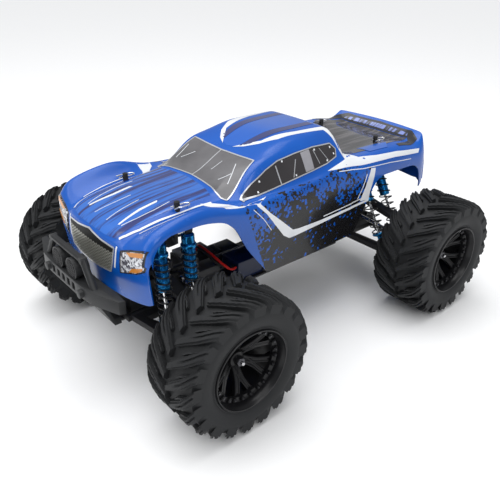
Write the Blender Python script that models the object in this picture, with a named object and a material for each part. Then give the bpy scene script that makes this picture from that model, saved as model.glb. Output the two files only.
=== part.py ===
"""Remote-control monster truck, one-tenth scale, modelled as its separate working pieces.

Axes: +Z up, +X to the truck's left, the nose points along -Y. The origin is on the ground under
the middle of the truck. Sizes below are in millimetres; MM turns them into Blender's metres.
"""

from math import cos, pi, radians, sin

import bmesh
import bpy
from mathutils import Matrix, Vector

MM = 0.001

# Overall sizes
WHEELBASE = 330.0
TRACK = 300.0
TYRE_DIAMETER = 150.0
TYRE_WIDTH = 72.0
FRONT_OVERHANG = 94.0

# Clearances
GAP = 0.4
RUNNING_GAP = 0.5
LOOSE_GAP = 0.9

# Wheels
TYRE_WALL = 4.0
TYRE_SEGMENTS = 24
ROUND_SIDES = 12
PIN_SIDES = 8
RIM_RADIUS = 41.0
RIM_WALL = 2.8
RIM_LIP = 2.2
RIM_SPOKES = 6
WEB_THICKNESS = 5.0
WEB_OFFSET = 4.0
HUB_RADIUS = 9.0
STUB_RADIUS = 2.5
NUT_RADIUS = 4.6

# Suspension
PIVOT_X = 24.0
OUTER_PIVOT_INSET = 38.0
ARM_DROP = 16.0
LOWER_PIVOT_BELOW_AXLE = 9.0
ARM_RISE = 46.0
KINGPIN_OFFSET = 7.0
STEERING_ARM = 28.5
ARM_THICKNESS = 7.0
LOWER_ARM_ROOT = 35.5
LOWER_ARM_TIP = 13.0
UPPER_ARM_ROOT = 14.5
UPPER_ARM_TIP = 7.0
BARREL_RADIUS = 4.5
HINGE_PIN_RADIUS = 1.6
FORK_WIDTH = 8.0
FORK_EAR = 4.0

# Shock absorbers
SHOCK_SPREAD = 17.0
SHOCK_RADIUS = 7.0
SHOCK_BODY_LENGTH = 56.0
SHOCK_SHAFT_RADIUS = 1.75
SHOCK_PIN_RADIUS = 1.9
SHOCK_EYE_RADIUS = 3.6
SPRING_CUP_RADIUS = 7.2
FOOT_HEIGHT = 0.0
FRONT_SHOCK_TOP = (61.5, 102.0)
FRONT_SHOCK_FOOT = 46.0
REAR_SHOCK_TOP = (30.0, 99.0)
REAR_SHOCK_FOOT = 62.0
TOWER_THICKNESS = 4.0

# Chassis and driveline
PLATE_THICKNESS = 3.0
PLATE_HALF_WIDTH = 41.0
PLATE_END_HALF_WIDTH = 17.0
CASE_HALF_WIDTH = 17.0
CASE_HEIGHT = 33.0
SHAFT_RISE = 7.0
DRIVE_SHAFT_RADIUS = 2.5
GEAR_MODULE = 0.8
SPUR_TEETH = 40
PINION_TEETH = 14
GEAR_WIDTH = 5.0
GEAR_BACKLASH = 0.5
MOTOR_RADIUS = 18.0
MOTOR_LENGTH = 52.0
MOTOR_AHEAD_OF_REAR_AXLE = 114.5

# Steering
SERVO_SIZE = (20.0, 40.0, 24.0)
SERVO_X = 14.0
CRANK_LENGTH = STEERING_ARM

# Electronics
BATTERY_SIZE = (31.0, 98.0, 25.0)
BATTERY_TO_GEAR = 4.0
CONTROLLER_SIZE = (30.0, 46.0, 24.0)
RECEIVER_SIZE = (28.0, 34.0, 15.0)
LEAD_RADIUS = 1.5
LEAD_SPACING = 4.5

# Body shell
SHELL_THICKNESS = 1.5
ARCH_DEPTH_X = 78.0
POST_RADIUS = 3.0
POST_X_FRONT = 50.0
POST_X_REAR = 47.7
POST_BEHIND_FRONT_AXLE = 14.0
POST_AHEAD_OF_REAR_AXLE = 6.0
CLIP_WIRE = 0.9

# Worked out from the sizes above
TYRE_RADIUS = TYRE_DIAMETER / 2
AXLE_Z = TYRE_RADIUS
SHIFT_Y = (FRONT_OVERHANG - TYRE_RADIUS) / 2
FRONT_AXLE_Y = SHIFT_Y - WHEELBASE / 2
REAR_AXLE_Y = SHIFT_Y + WHEELBASE / 2
WHEEL_X = TRACK / 2
OUTER_PIVOT_X = WHEEL_X - OUTER_PIVOT_INSET
ARM_SPAN = OUTER_PIVOT_X - PIVOT_X
LOWER_PIVOT_Z = AXLE_Z - LOWER_PIVOT_BELOW_AXLE
LOWER_OUTER_Z = LOWER_PIVOT_Z - ARM_DROP
UPPER_PIVOT_Z = LOWER_PIVOT_Z + ARM_RISE
UPPER_OUTER_Z = UPPER_PIVOT_Z - ARM_DROP
KINGPIN_X = OUTER_PIVOT_X + KINGPIN_OFFSET
PLATE_TOP = LOWER_PIVOT_Z - 3.0
SHAFT_Z = AXLE_Z + SHAFT_RISE
CASE_BOTTOM = PLATE_TOP + GAP
CASE_TOP = CASE_BOTTOM + CASE_HEIGHT
COLUMN_TOP = UPPER_PIVOT_Z + 6.0
SPUR_RADIUS = GEAR_MODULE * SPUR_TEETH / 2
PINION_RADIUS = GEAR_MODULE * PINION_TEETH / 2
PINION_X = -(SPUR_RADIUS + PINION_RADIUS)
MOTOR_FRONT = REAR_AXLE_Y - MOTOR_AHEAD_OF_REAR_AXLE
GEAR_Y = MOTOR_FRONT - 8.0
LINK_Z = LOWER_PIVOT_Z + 27.0
TIE_ROD_INNER_X = KINGPIN_X - ARM_SPAN
TIE_ROD_OUTER_Z = LINK_Z - ARM_DROP
SERVO_Y = FRONT_AXLE_Y + STEERING_ARM + CRANK_LENGTH
BATTERY_FRONT = GEAR_Y - GEAR_WIDTH / 2 - BATTERY_TO_GEAR - BATTERY_SIZE[1]
ENDS = {"front": FRONT_AXLE_Y, "rear": REAR_AXLE_Y}
SIDES = {"left": 1, "right": -1}

COLOURS = {
    "rubber": ((0.018, 0.018, 0.02), 0.75, 0.0),
    "rim_black": ((0.02, 0.02, 0.022), 0.35, 0.0),
    "black_plastic": ((0.03, 0.03, 0.033), 0.5, 0.0),
    "grey_plastic": ((0.075, 0.08, 0.085), 0.5, 0.0),
    "steel": ((0.6, 0.6, 0.62), 0.25, 1.0),
    "blue_anodised": ((0.02, 0.18, 0.42), 0.3, 1.0),
    "blue_lexan": ((0.01, 0.1, 0.62), 0.12, 0.0),
    "gear_white": ((0.75, 0.75, 0.72), 0.45, 0.0),
    "motor_can": ((0.45, 0.46, 0.48), 0.35, 1.0),
    "battery_wrap": ((0.05, 0.06, 0.08), 0.4, 0.0),
    "red_silicone": ((0.55, 0.02, 0.02), 0.45, 0.0),
    "black_silicone": ((0.02, 0.02, 0.02), 0.45, 0.0),
}


def clear_scene():
    """Remove every object that the file starts with."""
    for existing in list(bpy.data.objects):
        bpy.data.objects.remove(existing, do_unlink=True)


def finish_material(name):
    """Return the named material, made once from COLOURS."""
    found = bpy.data.materials.get(name)
    if found:
        return found
    colour, roughness, metallic = COLOURS[name]
    made = bpy.data.materials.new(name)
    made.use_nodes = True
    shader = made.node_tree.nodes["Principled BSDF"]
    shader.inputs["Base Color"].default_value = (*colour, 1.0)
    shader.inputs["Roughness"].default_value = roughness
    shader.inputs["Metallic"].default_value = metallic
    return made


def outward(shape):
    """Turn a closed shape's faces outwards."""
    bmesh.ops.recalc_face_normals(shape, faces=shape.faces)
    return shape


def block(x, y, z):
    """Return a box that spans the three (low, high) pairs."""
    shape = bmesh.new()
    bmesh.ops.create_cube(shape, size=1.0)
    size = [high - low for low, high in (x, y, z)]
    middle = [(high + low) / 2 for low, high in (x, y, z)]
    bmesh.ops.transform(shape, matrix=Matrix.Diagonal((*size, 1.0)), verts=shape.verts)
    bmesh.ops.translate(shape, vec=middle, verts=shape.verts)
    return shape


def plate(outline, axis, low, high):
    """Extrude a closed outline along axis; the outline's pairs are the other two axes in order."""
    shape = bmesh.new()
    place = {
        "X": lambda a, b, c: (c, a, b),
        "Y": lambda a, b, c: (a, c, b),
        "Z": lambda a, b, c: (a, b, c),
    }[axis]
    near = [shape.verts.new(place(a, b, low)) for a, b in outline]
    far = [shape.verts.new(place(a, b, high)) for a, b in outline]
    shape.faces.new(near)
    shape.faces.new(far)
    for i in range(len(outline)):
        j = (i + 1) % len(outline)
        shape.faces.new((near[i], near[j], far[j], far[i]))
    return outward(shape)


def rod(start, end, radius, sides=ROUND_SIDES):
    """Return a solid cylinder from start to end."""
    start = Vector(start)
    along = Vector(end) - start
    shape = bmesh.new()
    bmesh.ops.create_cone(
        shape,
        cap_ends=True,
        segments=sides,
        radius1=radius,
        radius2=radius,
        depth=along.length,
    )
    turn = along.to_track_quat("Z", "Y").to_matrix().to_4x4()
    middle = start + along / 2
    bmesh.ops.transform(shape, matrix=Matrix.Translation(middle) @ turn, verts=shape.verts)
    return shape


def tapered_beam(stations):
    """Bridge rectangular sections; each station is (x, half width in Y, z, half height, y)."""
    shape = bmesh.new()
    rings = []
    for x, wide, z, high, y in stations:
        corners = ((-1, -1), (1, -1), (1, 1), (-1, 1))
        rings.append([shape.verts.new((x, y + a * wide, z + b * high)) for a, b in corners])
    shape.faces.new(rings[0])
    shape.faces.new(rings[-1])
    for first, second in zip(rings, rings[1:]):
        for i in range(4):
            j = (i + 1) % 4
            shape.faces.new((first[i], first[j], second[j], second[i]))
    return outward(shape)


def turned_ring(section, centre, segments):
    """Turn a closed section of (radius, offset along X) pairs into a ring about an X axis.

    The vertices straddle the lowest point, so the ring stands on a flat."""
    shape = bmesh.new()
    rings = []
    for step in range(segments):
        angle = 2 * pi * (step + 0.5) / segments
        rings.append(
            [
                shape.verts.new(
                    (centre[0] + a, centre[1] + r * sin(angle), centre[2] + r * cos(angle))
                )
                for r, a in section
            ]
        )
    for step in range(segments):
        here = rings[step]
        there = rings[(step + 1) % segments]
        for i in range(len(section)):
            j = (i + 1) % len(section)
            shape.faces.new((here[i], here[j], there[j], there[i]))
    return outward(shape)


def loose_object(shape):
    """Put a shape in a scene object of its own, scaled to metres."""
    mesh = bpy.data.meshes.new("shape")
    bmesh.ops.scale(shape, vec=(MM, MM, MM), verts=shape.verts)
    shape.to_mesh(mesh)
    shape.free()
    holder = bpy.data.objects.new("shape", mesh)
    bpy.context.collection.objects.link(holder)
    return holder


def combined_mesh(shapes, cuts=()):
    """Unite the shapes, take the cuts away, and return one mesh in metres."""
    base = loose_object(shapes[0])
    tools = []
    for operation, group in (("UNION", shapes[1:]), ("DIFFERENCE", cuts)):
        for shape in group:
            tool = loose_object(shape)
            tool.hide_render = True
            tool.display_type = "WIRE"
            tools.append(tool)
            step = base.modifiers.new("step", "BOOLEAN")
            step.operation = operation
            step.solver = "EXACT"
            step.object = tool
    graph = bpy.context.evaluated_depsgraph_get()
    mesh = bpy.data.meshes.new_from_object(base.evaluated_get(graph))
    for used in (base, *tools):
        bpy.data.objects.remove(used, do_unlink=True)
    return mesh


def piece(name, material, shapes, cuts=(), pivot=(0.0, 0.0, 0.0)):
    """Make one named sub-part, with its origin on its joint's axis."""
    mesh = combined_mesh(shapes, cuts)
    mesh.name = name
    origin = Vector(pivot) * MM
    mesh.transform(Matrix.Translation(-origin))
    mesh.materials.clear()
    mesh.materials.append(finish_material(material))
    mesh.shade_smooth()
    mesh.set_sharp_from_angle(angle=radians(35))
    made = bpy.data.objects.new(name, mesh)
    made.location = origin
    bpy.context.collection.objects.link(made)
    return made


# ---------------------------------------------------------------- wheels


def tyre_section():
    """Closed section of the tyre: crown, sidewalls and the open inside, as (radius, offset)."""
    half = TYRE_WIDTH / 2
    vertex = TYRE_RADIUS / cos(pi / TYRE_SEGMENTS)
    bead = RIM_RADIUS + GAP
    seat = half - RIM_LIP - 1.5
    outer = [
        (bead, seat),
        (RIM_RADIUS + RIM_LIP + GAP, seat + 0.5),
        (vertex - 18.0, half),
        (vertex - 7.0, half - 2.5),
        (vertex - 1.5, half - 11.0),
        (vertex, half - 20.0),
    ]
    inner = [
        (vertex - TYRE_WALL, half - 20.0),
        (vertex - 17.0, half - TYRE_WALL),
        (bead, seat - TYRE_WALL),
    ]
    right_outer = [(r, -a) for r, a in reversed(outer)]
    right_inner = [(r, -a) for r, a in inner]
    return outer + right_outer + list(reversed(right_inner)) + inner


def make_wheel(end, side):
    """Tyre and rim; the rim carries its hub, its stub axle and the nut."""
    sign = SIDES[side]
    centre = (sign * WHEEL_X, ENDS[end], AXLE_Z)
    section = tyre_section()
    piece(f"tyre_{end}_{side}", "rubber", [turned_ring(section, centre, TYRE_SEGMENTS)], pivot=centre)

    half = TYRE_WIDTH / 2
    seat = half - RIM_LIP - 1.2
    inner = RIM_RADIUS - RIM_WALL
    barrel = [
        (inner, -seat),
        (RIM_RADIUS, -seat),
        (RIM_RADIUS, seat),
        (RIM_RADIUS + RIM_LIP, seat + 0.3),
        (RIM_RADIUS + RIM_LIP, half - 1.0),
        (inner, half - 1.0),
    ]
    barrel = [(r, sign * a) for r, a in barrel]

    def along(distance):
        return (centre[0] + sign * distance, centre[1], centre[2])

    web_in = WEB_OFFSET - WEB_THICKNESS / 2
    web_out = WEB_OFFSET + WEB_THICKNESS / 2
    shapes = [
        turned_ring(barrel, centre, TYRE_SEGMENTS),
        rod(along(web_in), along(web_out), inner + RIM_WALL / 2, TYRE_SEGMENTS),
        rod(along(web_in - 11.0), along(web_out + 3.0), HUB_RADIUS, 6),
        rod(along(KINGPIN_X - WHEEL_X), along(web_out + 8.0), STUB_RADIUS, PIN_SIDES),
        rod(along(web_out + 2.0), along(web_out + 6.5), NUT_RADIUS, 6),
    ]
    windows = []
    for spoke in range(RIM_SPOKES):
        middle = 2 * pi * (spoke + 0.5) / RIM_SPOKES + pi / 2
        spread = pi / RIM_SPOKES
        corners = []
        for radius, share in ((HUB_RADIUS + 4.0, 0.35), (inner - 3.0, 0.68)):
            for direction in (-1, 1) if radius < inner / 2 else (1, -1):
                angle = middle + direction * share * spread
                corners.append((centre[1] + radius * cos(angle), centre[2] + radius * sin(angle)))
        low = min(along(web_in - 2.0)[0], along(web_out + 2.0)[0])
        high = max(along(web_in - 2.0)[0], along(web_out + 2.0)[0])
        windows.append(plate(corners, "X", low, high))
    piece(f"rim_{end}_{side}", "rim_black", shapes, windows, pivot=centre)


# ---------------------------------------------------------------- suspension


def shock_ends(end):
    """Top and foot of a shock in the plane across the truck, as (x, z) for the left side."""
    top_x, rise = FRONT_SHOCK_TOP if end == "front" else REAR_SHOCK_TOP
    reach = FRONT_SHOCK_FOOT if end == "front" else REAR_SHOCK_FOOT
    foot = (PIVOT_X + reach, LOWER_PIVOT_Z + FOOT_HEIGHT)
    return (top_x, LOWER_PIVOT_Z + rise), foot


def make_lower_arm(end, side):
    """Lower wishbone: root barrel, tapering blade, outer fork with its pin, and the shock lug."""
    sign = SIDES[side]
    y = ENDS[end]
    slope = ARM_DROP / ARM_SPAN

    def line(x):
        return LOWER_PIVOT_Z - slope * (x - PIVOT_X)

    inner_x = PIVOT_X + 2.0
    half = ARM_THICKNESS / 2
    stations = [
        (sign * inner_x, LOWER_ARM_ROOT - 0.5, line(inner_x), half, y),
        (sign * (PIVOT_X + 14.0), LOWER_ARM_ROOT - 4.0, line(PIVOT_X + 14.0), half, y),
        (sign * (OUTER_PIVOT_X - 10.0), LOWER_ARM_TIP, line(OUTER_PIVOT_X - 10.0), half, y),
        (sign * (OUTER_PIVOT_X + 3.0), LOWER_ARM_TIP, line(OUTER_PIVOT_X + 3.0), half, y),
    ]
    foot = shock_ends(end)[1]
    lug_x = sorted((sign * (foot[0] - 5.5), sign * (foot[0] + 5.5)))
    fork = FORK_WIDTH + GAP
    shapes = [
        rod((sign * PIVOT_X, y - LOWER_ARM_ROOT, LOWER_PIVOT_Z),
            (sign * PIVOT_X, y + LOWER_ARM_ROOT, LOWER_PIVOT_Z), BARREL_RADIUS),
        tapered_beam(stations),
        block(lug_x, (y - 11.0, y + 11.0), (line(foot[0]), foot[1] + 5.0)),
    ]
    pin = rod((sign * OUTER_PIVOT_X, y - LOWER_ARM_TIP + 0.5, LOWER_OUTER_Z),
              (sign * OUTER_PIVOT_X, y + LOWER_ARM_TIP - 0.5, LOWER_OUTER_Z), HINGE_PIN_RADIUS, PIN_SIDES)
    notch_x = sorted((sign * (OUTER_PIVOT_X - 6.5), sign * (OUTER_PIVOT_X + 20.0)))
    cuts = [
        rod((sign * PIVOT_X, y - 60.0, LOWER_PIVOT_Z), (sign * PIVOT_X, y + 60.0, LOWER_PIVOT_Z),
            HINGE_PIN_RADIUS + RUNNING_GAP, PIN_SIDES),
        block(notch_x, (y - fork, y + fork), (LOWER_OUTER_Z - 20.0, LOWER_OUTER_Z + 20.0)),
        rod((sign * foot[0], y - 20.0, foot[1]), (sign * foot[0], y + 20.0, foot[1]),
            SHOCK_PIN_RADIUS + LOOSE_GAP, PIN_SIDES),
    ]
    window_outer = min(foot[0] - 12.0, OUTER_PIVOT_X - 30.0)
    if window_outer > PIVOT_X + 20.0:
        window = [
            (sign * (PIVOT_X + 12.0), y - LOWER_ARM_ROOT + 12.0),
            (sign * window_outer, y - LOWER_ARM_TIP + 3.0),
            (sign * window_outer, y + LOWER_ARM_TIP - 3.0),
            (sign * (PIVOT_X + 12.0), y + LOWER_ARM_ROOT - 12.0),
        ]
        cuts.append(plate(window, "Z", LOWER_OUTER_Z - 20.0, LOWER_PIVOT_Z + 20.0))
    made = combined_mesh(shapes, cuts)
    bare = bmesh.new()
    bare.from_mesh(made)
    bmesh.ops.scale(bare, vec=(1 / MM, 1 / MM, 1 / MM), verts=bare.verts)
    bpy.data.meshes.remove(made)
    piece(f"lower_arm_{end}_{side}", "black_plastic", [bare, pin],
          pivot=(sign * PIVOT_X, y, LOWER_PIVOT_Z))


def make_upper_arm(end, side):
    """Upper link: root barrel, slim blade between the shocks, and an outer fork with its pin."""
    sign = SIDES[side]
    y = ENDS[end]
    slope = ARM_DROP / ARM_SPAN
    fork = 4.5

    def line(x):
        return UPPER_PIVOT_Z - slope * (x - PIVOT_X)

    half = ARM_THICKNESS / 2 - 0.5
    stations = [
        (sign * (PIVOT_X + 1.0), UPPER_ARM_TIP, line(PIVOT_X + 1.0), half, y),
        (sign * (OUTER_PIVOT_X + 3.0), UPPER_ARM_TIP, line(OUTER_PIVOT_X + 3.0), half, y),
    ]
    shapes = [
        rod((sign * PIVOT_X, y - UPPER_ARM_ROOT, UPPER_PIVOT_Z),
            (sign * PIVOT_X, y + UPPER_ARM_ROOT, UPPER_PIVOT_Z), BARREL_RADIUS - 0.5),
        tapered_beam(stations),
    ]
    notch_x = sorted((sign * (OUTER_PIVOT_X - 6.0), sign * (OUTER_PIVOT_X + 20.0)))
    cuts = [
        rod((sign * PIVOT_X, y - 40.0, UPPER_PIVOT_Z), (sign * PIVOT_X, y + 40.0, UPPER_PIVOT_Z),
            HINGE_PIN_RADIUS + RUNNING_GAP, PIN_SIDES),
        block(notch_x, (y - fork - GAP, y + fork + GAP), (UPPER_OUTER_Z - 20.0, UPPER_OUTER_Z + 20.0)),
    ]
    made = combined_mesh(shapes, cuts)
    bare = bmesh.new()
    bare.from_mesh(made)
    bmesh.ops.scale(bare, vec=(1 / MM, 1 / MM, 1 / MM), verts=bare.verts)
    bpy.data.meshes.remove(made)
    pin = rod((sign * OUTER_PIVOT_X, y - UPPER_ARM_TIP + 0.5, UPPER_OUTER_Z),
              (sign * OUTER_PIVOT_X, y + UPPER_ARM_TIP - 0.5, UPPER_OUTER_Z), HINGE_PIN_RADIUS, PIN_SIDES)
    piece(f"upper_arm_{end}_{side}", "black_plastic", [bare, pin],
          pivot=(sign * PIVOT_X, y, UPPER_PIVOT_Z))


def pivot_bores(sign, y):
    """Bores of an upright, around the pins of both outer forks."""
    return [
        rod((sign * OUTER_PIVOT_X, y - 30.0, z), (sign * OUTER_PIVOT_X, y + 30.0, z),
            HINGE_PIN_RADIUS + RUNNING_GAP, PIN_SIDES)
        for z in (LOWER_OUTER_Z, UPPER_OUTER_Z)
    ]


def upright_back(sign, y):
    """Back plate of an upright with its two hinge barrels."""
    x = sorted((sign * (OUTER_PIVOT_X - 4.0), sign * (OUTER_PIVOT_X + 0.8)))
    return [
        block(x, (y - 6.2, y + 6.2), (LOWER_OUTER_Z + 1.0, UPPER_OUTER_Z - 9.0)),
        block(x, (y - 4.4, y + 4.4), (UPPER_OUTER_Z - 10.0, UPPER_OUTER_Z - 1.0)),
        rod((sign * OUTER_PIVOT_X, y - FORK_WIDTH, LOWER_OUTER_Z),
            (sign * OUTER_PIVOT_X, y + FORK_WIDTH, LOWER_OUTER_Z), BARREL_RADIUS),
        rod((sign * OUTER_PIVOT_X, y - 4.5, UPPER_OUTER_Z),
            (sign * OUTER_PIVOT_X, y + 4.5, UPPER_OUTER_Z), BARREL_RADIUS - 0.5),
    ]


def make_front_upright(side):
    """C-shaped block hung between the arms, and the steering knuckle turning inside it."""
    sign = SIDES[side]
    y = FRONT_AXLE_Y
    x = sign * KINGPIN_X
    hub_half = 12.0
    lip = 4.5
    flange_x = sorted((sign * (OUTER_PIVOT_X - 4.0), sign * (KINGPIN_X + 4.0)))
    low = AXLE_Z - hub_half - GAP
    high = AXLE_Z + hub_half + GAP
    shapes = upright_back(sign, y) + [
        block(flange_x, (y - 5.5, y + 5.5), (low - lip, low)),
        block(flange_x, (y - 5.5, y + 5.5), (high, high + lip)),
    ]
    cuts = pivot_bores(sign, y) + [
        rod((sign * (OUTER_PIVOT_X - 20.0), y, AXLE_Z), (x, y, AXLE_Z), 4.4),
        rod((x, y, AXLE_Z - 30.0), (x, y, AXLE_Z + 30.0), 1.5 + RUNNING_GAP, PIN_SIDES),
    ]
    piece(f"caster_block_{side}", "black_plastic", shapes, cuts,
          pivot=(sign * OUTER_PIVOT_X, y, LOWER_OUTER_Z))

    arm_z = TIE_ROD_OUTER_Z - 6.0
    ball_y = y + STEERING_ARM
    barrel_end = sign * (KINGPIN_X + 17.0)
    knuckle = [
        rod((x, y, AXLE_Z - hub_half), (x, y, AXLE_Z + hub_half), 5.6),
        rod((x, y, AXLE_Z), (barrel_end, y, AXLE_Z), 8.0),
        rod((x, y, AXLE_Z - hub_half - 4.0), (x, y, AXLE_Z + hub_half + 4.0), 1.5, PIN_SIDES),
        block(sorted((x - 2.6, x + 2.6)), (y, ball_y + 3.0), (arm_z - 2.0, arm_z + 2.0)),
        rod((x, ball_y, arm_z), (x, ball_y, TIE_ROD_OUTER_Z + 4.5), 1.6, PIN_SIDES),
    ]
    inner_end = sign * (OUTER_PIVOT_X - 20.0)
    bore = [rod((inner_end, y, AXLE_Z), (barrel_end + sign, y, AXLE_Z), STUB_RADIUS + RUNNING_GAP)]
    piece(f"steering_knuckle_{side}", "grey_plastic", knuckle, bore, pivot=(x, y, AXLE_Z))


def make_rear_upright(side):
    """Rear hub carrier: back plate, bearing barrel and both hinge barrels."""
    sign = SIDES[side]
    y = REAR_AXLE_Y
    shapes = upright_back(sign, y) + [
        rod((sign * (OUTER_PIVOT_X - 4.0), y, AXLE_Z), (sign * (KINGPIN_X + 17.0), y, AXLE_Z), 9.0),
    ]
    cuts = pivot_bores(sign, y) + [
        rod((sign * (OUTER_PIVOT_X - 20.0), y, AXLE_Z), (sign * (KINGPIN_X + 20.0), y, AXLE_Z),
            STUB_RADIUS + RUNNING_GAP),
    ]
    piece(f"hub_carrier_{side}", "grey_plastic", shapes, cuts,
          pivot=(sign * OUTER_PIVOT_X, y, LOWER_OUTER_Z))


def make_shocks(end, side):
    """One corner's pair of shocks: threaded bodies on the top pin, shafts on the foot pin."""
    sign = SIDES[side]
    y = ENDS[end]
    top, foot = shock_ends(end)
    top = Vector((sign * top[0], 0.0, top[1]))
    foot = Vector((sign * foot[0], 0.0, foot[1]))
    length = (foot - top).length
    way = (foot - top) / length

    def at(distance, spread):
        point = top + way * distance
        return (point.x, y + spread, point.z)

    pair = (-SHOCK_SPREAD, SHOCK_SPREAD)
    bodies = [rod(at(0, -SHOCK_SPREAD - 4.0), at(0, SHOCK_SPREAD + 4.0), SHOCK_PIN_RADIUS, PIN_SIDES)]
    bores = []
    for spread in pair:
        bodies.append(rod(at(0, spread - 2.8), at(0, spread + 2.8), 4.5, PIN_SIDES))
        bodies.append(rod(at(3.0, spread), at(SHOCK_BODY_LENGTH, spread), SHOCK_RADIUS))
        bores.append(rod(at(7.0, spread), at(SHOCK_BODY_LENGTH + 5.0, spread),
                         SHOCK_SHAFT_RADIUS + RUNNING_GAP, PIN_SIDES))
    piece(f"shock_bodies_{end}_{side}", "blue_anodised", bodies, bores, pivot=tuple(top + Vector((0, y, 0))))

    foot_pin_reach = SHOCK_SPREAD + 3.5
    shafts = [rod(at(length, -foot_pin_reach), at(length, foot_pin_reach), SHOCK_PIN_RADIUS, PIN_SIDES)]
    for spread in pair:
        shafts.append(rod(at(length, spread - 2.5), at(length, spread + 2.5), SHOCK_EYE_RADIUS, PIN_SIDES))
        shafts.append(rod(at(25.0, spread), at(length, spread), SHOCK_SHAFT_RADIUS, PIN_SIDES))
        shafts.append(rod(at(length - 14.0, spread), at(length - 11.0, spread), SPRING_CUP_RADIUS))
    piece(f"shock_shafts_{end}_{side}", "steel", shafts, pivot=tuple(foot + Vector((0, y, 0))))


def make_drive_shaft(end, side):
    """Half shaft from the gear case's output to the hub."""
    sign = SIDES[side]
    y = ENDS[end]
    inner = Vector((sign * (PIVOT_X + 2.0), y, SHAFT_Z))
    outer = Vector((sign * OUTER_PIVOT_X, y, AXLE_Z))
    way = (outer - inner).normalized()
    near = inner - way * 3.0
    far = outer - way * 8.0
    shapes = [
        rod(near, far, DRIVE_SHAFT_RADIUS, PIN_SIDES),
        rod(inner - way * 4.0, inner + way * 5.0, 4.5, PIN_SIDES),
        rod(far - way * 6.0, far, 4.5, PIN_SIDES),
    ]
    piece(f"drive_shaft_{end}_{side}", "steel", shapes, pivot=tuple(inner))


# ---------------------------------------------------------------- chassis and driveline


def make_chassis():
    """Flat main plate, narrow under the gear cases and wide between them."""
    front = FRONT_AXLE_Y - 42.0
    back = REAR_AXLE_Y + 42.0
    waist_front = FRONT_AXLE_Y + 44.0
    waist_back = REAR_AXLE_Y - 44.0
    half = [
        (PLATE_END_HALF_WIDTH, front),
        (PLATE_END_HALF_WIDTH, waist_front),
        (PLATE_HALF_WIDTH, waist_front + 14.0),
        (PLATE_HALF_WIDTH, waist_back - 14.0),
        (PLATE_END_HALF_WIDTH, waist_back),
        (PLATE_END_HALF_WIDTH, back),
    ]
    outline = half + [(-x, y) for x, y in reversed(half)]
    piece("chassis_plate", "black_plastic", [plate(outline, "Z", PLATE_TOP - PLATE_THICKNESS, PLATE_TOP)])


def make_gear_case(end):
    """Differential housing with the hinge pins of its four arms."""
    y = ENDS[end]
    inward = 1 if end == "front" else -1
    face = y + inward * (14.0 if end == "front" else 30.0)
    back = y - inward * 30.0
    lower_ear = LOWER_ARM_ROOT + GAP
    upper_ear = UPPER_ARM_ROOT + GAP
    ear = 4.0
    reach = PIVOT_X + 4.0
    shapes = [
        block((-CASE_HALF_WIDTH, CASE_HALF_WIDTH), sorted((face, back)), (CASE_BOTTOM, CASE_TOP)),
        block((-CASE_HALF_WIDTH + 1, CASE_HALF_WIDTH - 1),
              (y - lower_ear - ear, y + lower_ear + ear), (CASE_BOTTOM, CASE_BOTTOM + 3.0)),
        block((-11.0, 11.0), (y - upper_ear - ear, y + upper_ear + ear), (CASE_TOP - 2.0, COLUMN_TOP)),
    ]
    for direction in (-1, 1):
        low, high = sorted((y + direction * lower_ear, y + direction * (lower_ear + ear)))
        shapes.append(block((-reach, reach), (low, high), (CASE_BOTTOM, LOWER_PIVOT_Z + 4.0)))
        low, high = sorted((y + direction * upper_ear, y + direction * (upper_ear + ear)))
        shapes.append(block((-reach, reach), (low, high), (UPPER_PIVOT_Z - 4.0, COLUMN_TOP)))
        shapes.append(rod((direction * PIVOT_X, y - lower_ear - 2.0, LOWER_PIVOT_Z),
                          (direction * PIVOT_X, y + lower_ear + 2.0, LOWER_PIVOT_Z),
                          HINGE_PIN_RADIUS, PIN_SIDES))
        shapes.append(rod((direction * PIVOT_X, y - upper_ear - 2.0, UPPER_PIVOT_Z),
                          (direction * PIVOT_X, y + upper_ear + 2.0, UPPER_PIVOT_Z),
                          HINGE_PIN_RADIUS, PIN_SIDES))
    bore = rod((0.0, face - inward * 7.0, SHAFT_Z), (0.0, face + inward * 30.0, SHAFT_Z),
               DRIVE_SHAFT_RADIUS + RUNNING_GAP)
    piece(f"{end}_gear_case", "black_plastic", shapes, [bore])


def make_tower(end):
    """Shock tower standing on the gear case, with its shock pin holes."""
    y = ENDS[end]
    top_x, top_z = shock_ends(end)[0]
    foot_z = COLUMN_TOP + GAP
    crown = max(top_x + 6.0, POST_X_REAR + 4.0)
    half = [
        (11.0, foot_z),
        (16.0, foot_z + 20.0),
        (crown - 12.0, top_z - 16.0),
        (crown, top_z - 8.0),
        (crown, top_z + 5.0),
        (crown - 5.0, top_z + 8.0),
        (24.0, top_z + 8.0),
        (16.0, top_z - 4.0),
    ]
    outline = half + [(-x, z) for x, z in reversed(half)]
    half_plate = TOWER_THICKNESS / 2
    holes = [
        rod((s * top_x, y - 20.0, top_z), (s * top_x, y + 20.0, top_z),
            SHOCK_PIN_RADIUS + RUNNING_GAP, PIN_SIDES)
        for s in SIDES.values()
    ]
    piece(f"{end}_shock_tower", "black_plastic", [plate(outline, "Y", y - half_plate, y + half_plate)], holes)


def gear_outline(teeth, centre, phase):
    """Outline of a spur gear in X and Z; phase is the angle of the first tooth."""
    pitch = GEAR_MODULE * teeth / 2
    tip = pitch + GEAR_MODULE * 0.85
    root = pitch - GEAR_MODULE * 1.15
    half_tooth = (pi * GEAR_MODULE / 2 - GEAR_BACKLASH) / 2 / pitch
    points = []
    for tooth in range(teeth):
        middle = phase + 2 * pi * tooth / teeth
        for radius, offset in ((root, -1.6), (tip, -0.45), (tip, 0.45), (root, 1.6)):
            angle = middle + offset * half_tooth
            points.append((centre[0] + radius * cos(angle), centre[1] + radius * sin(angle)))
    return points


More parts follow.
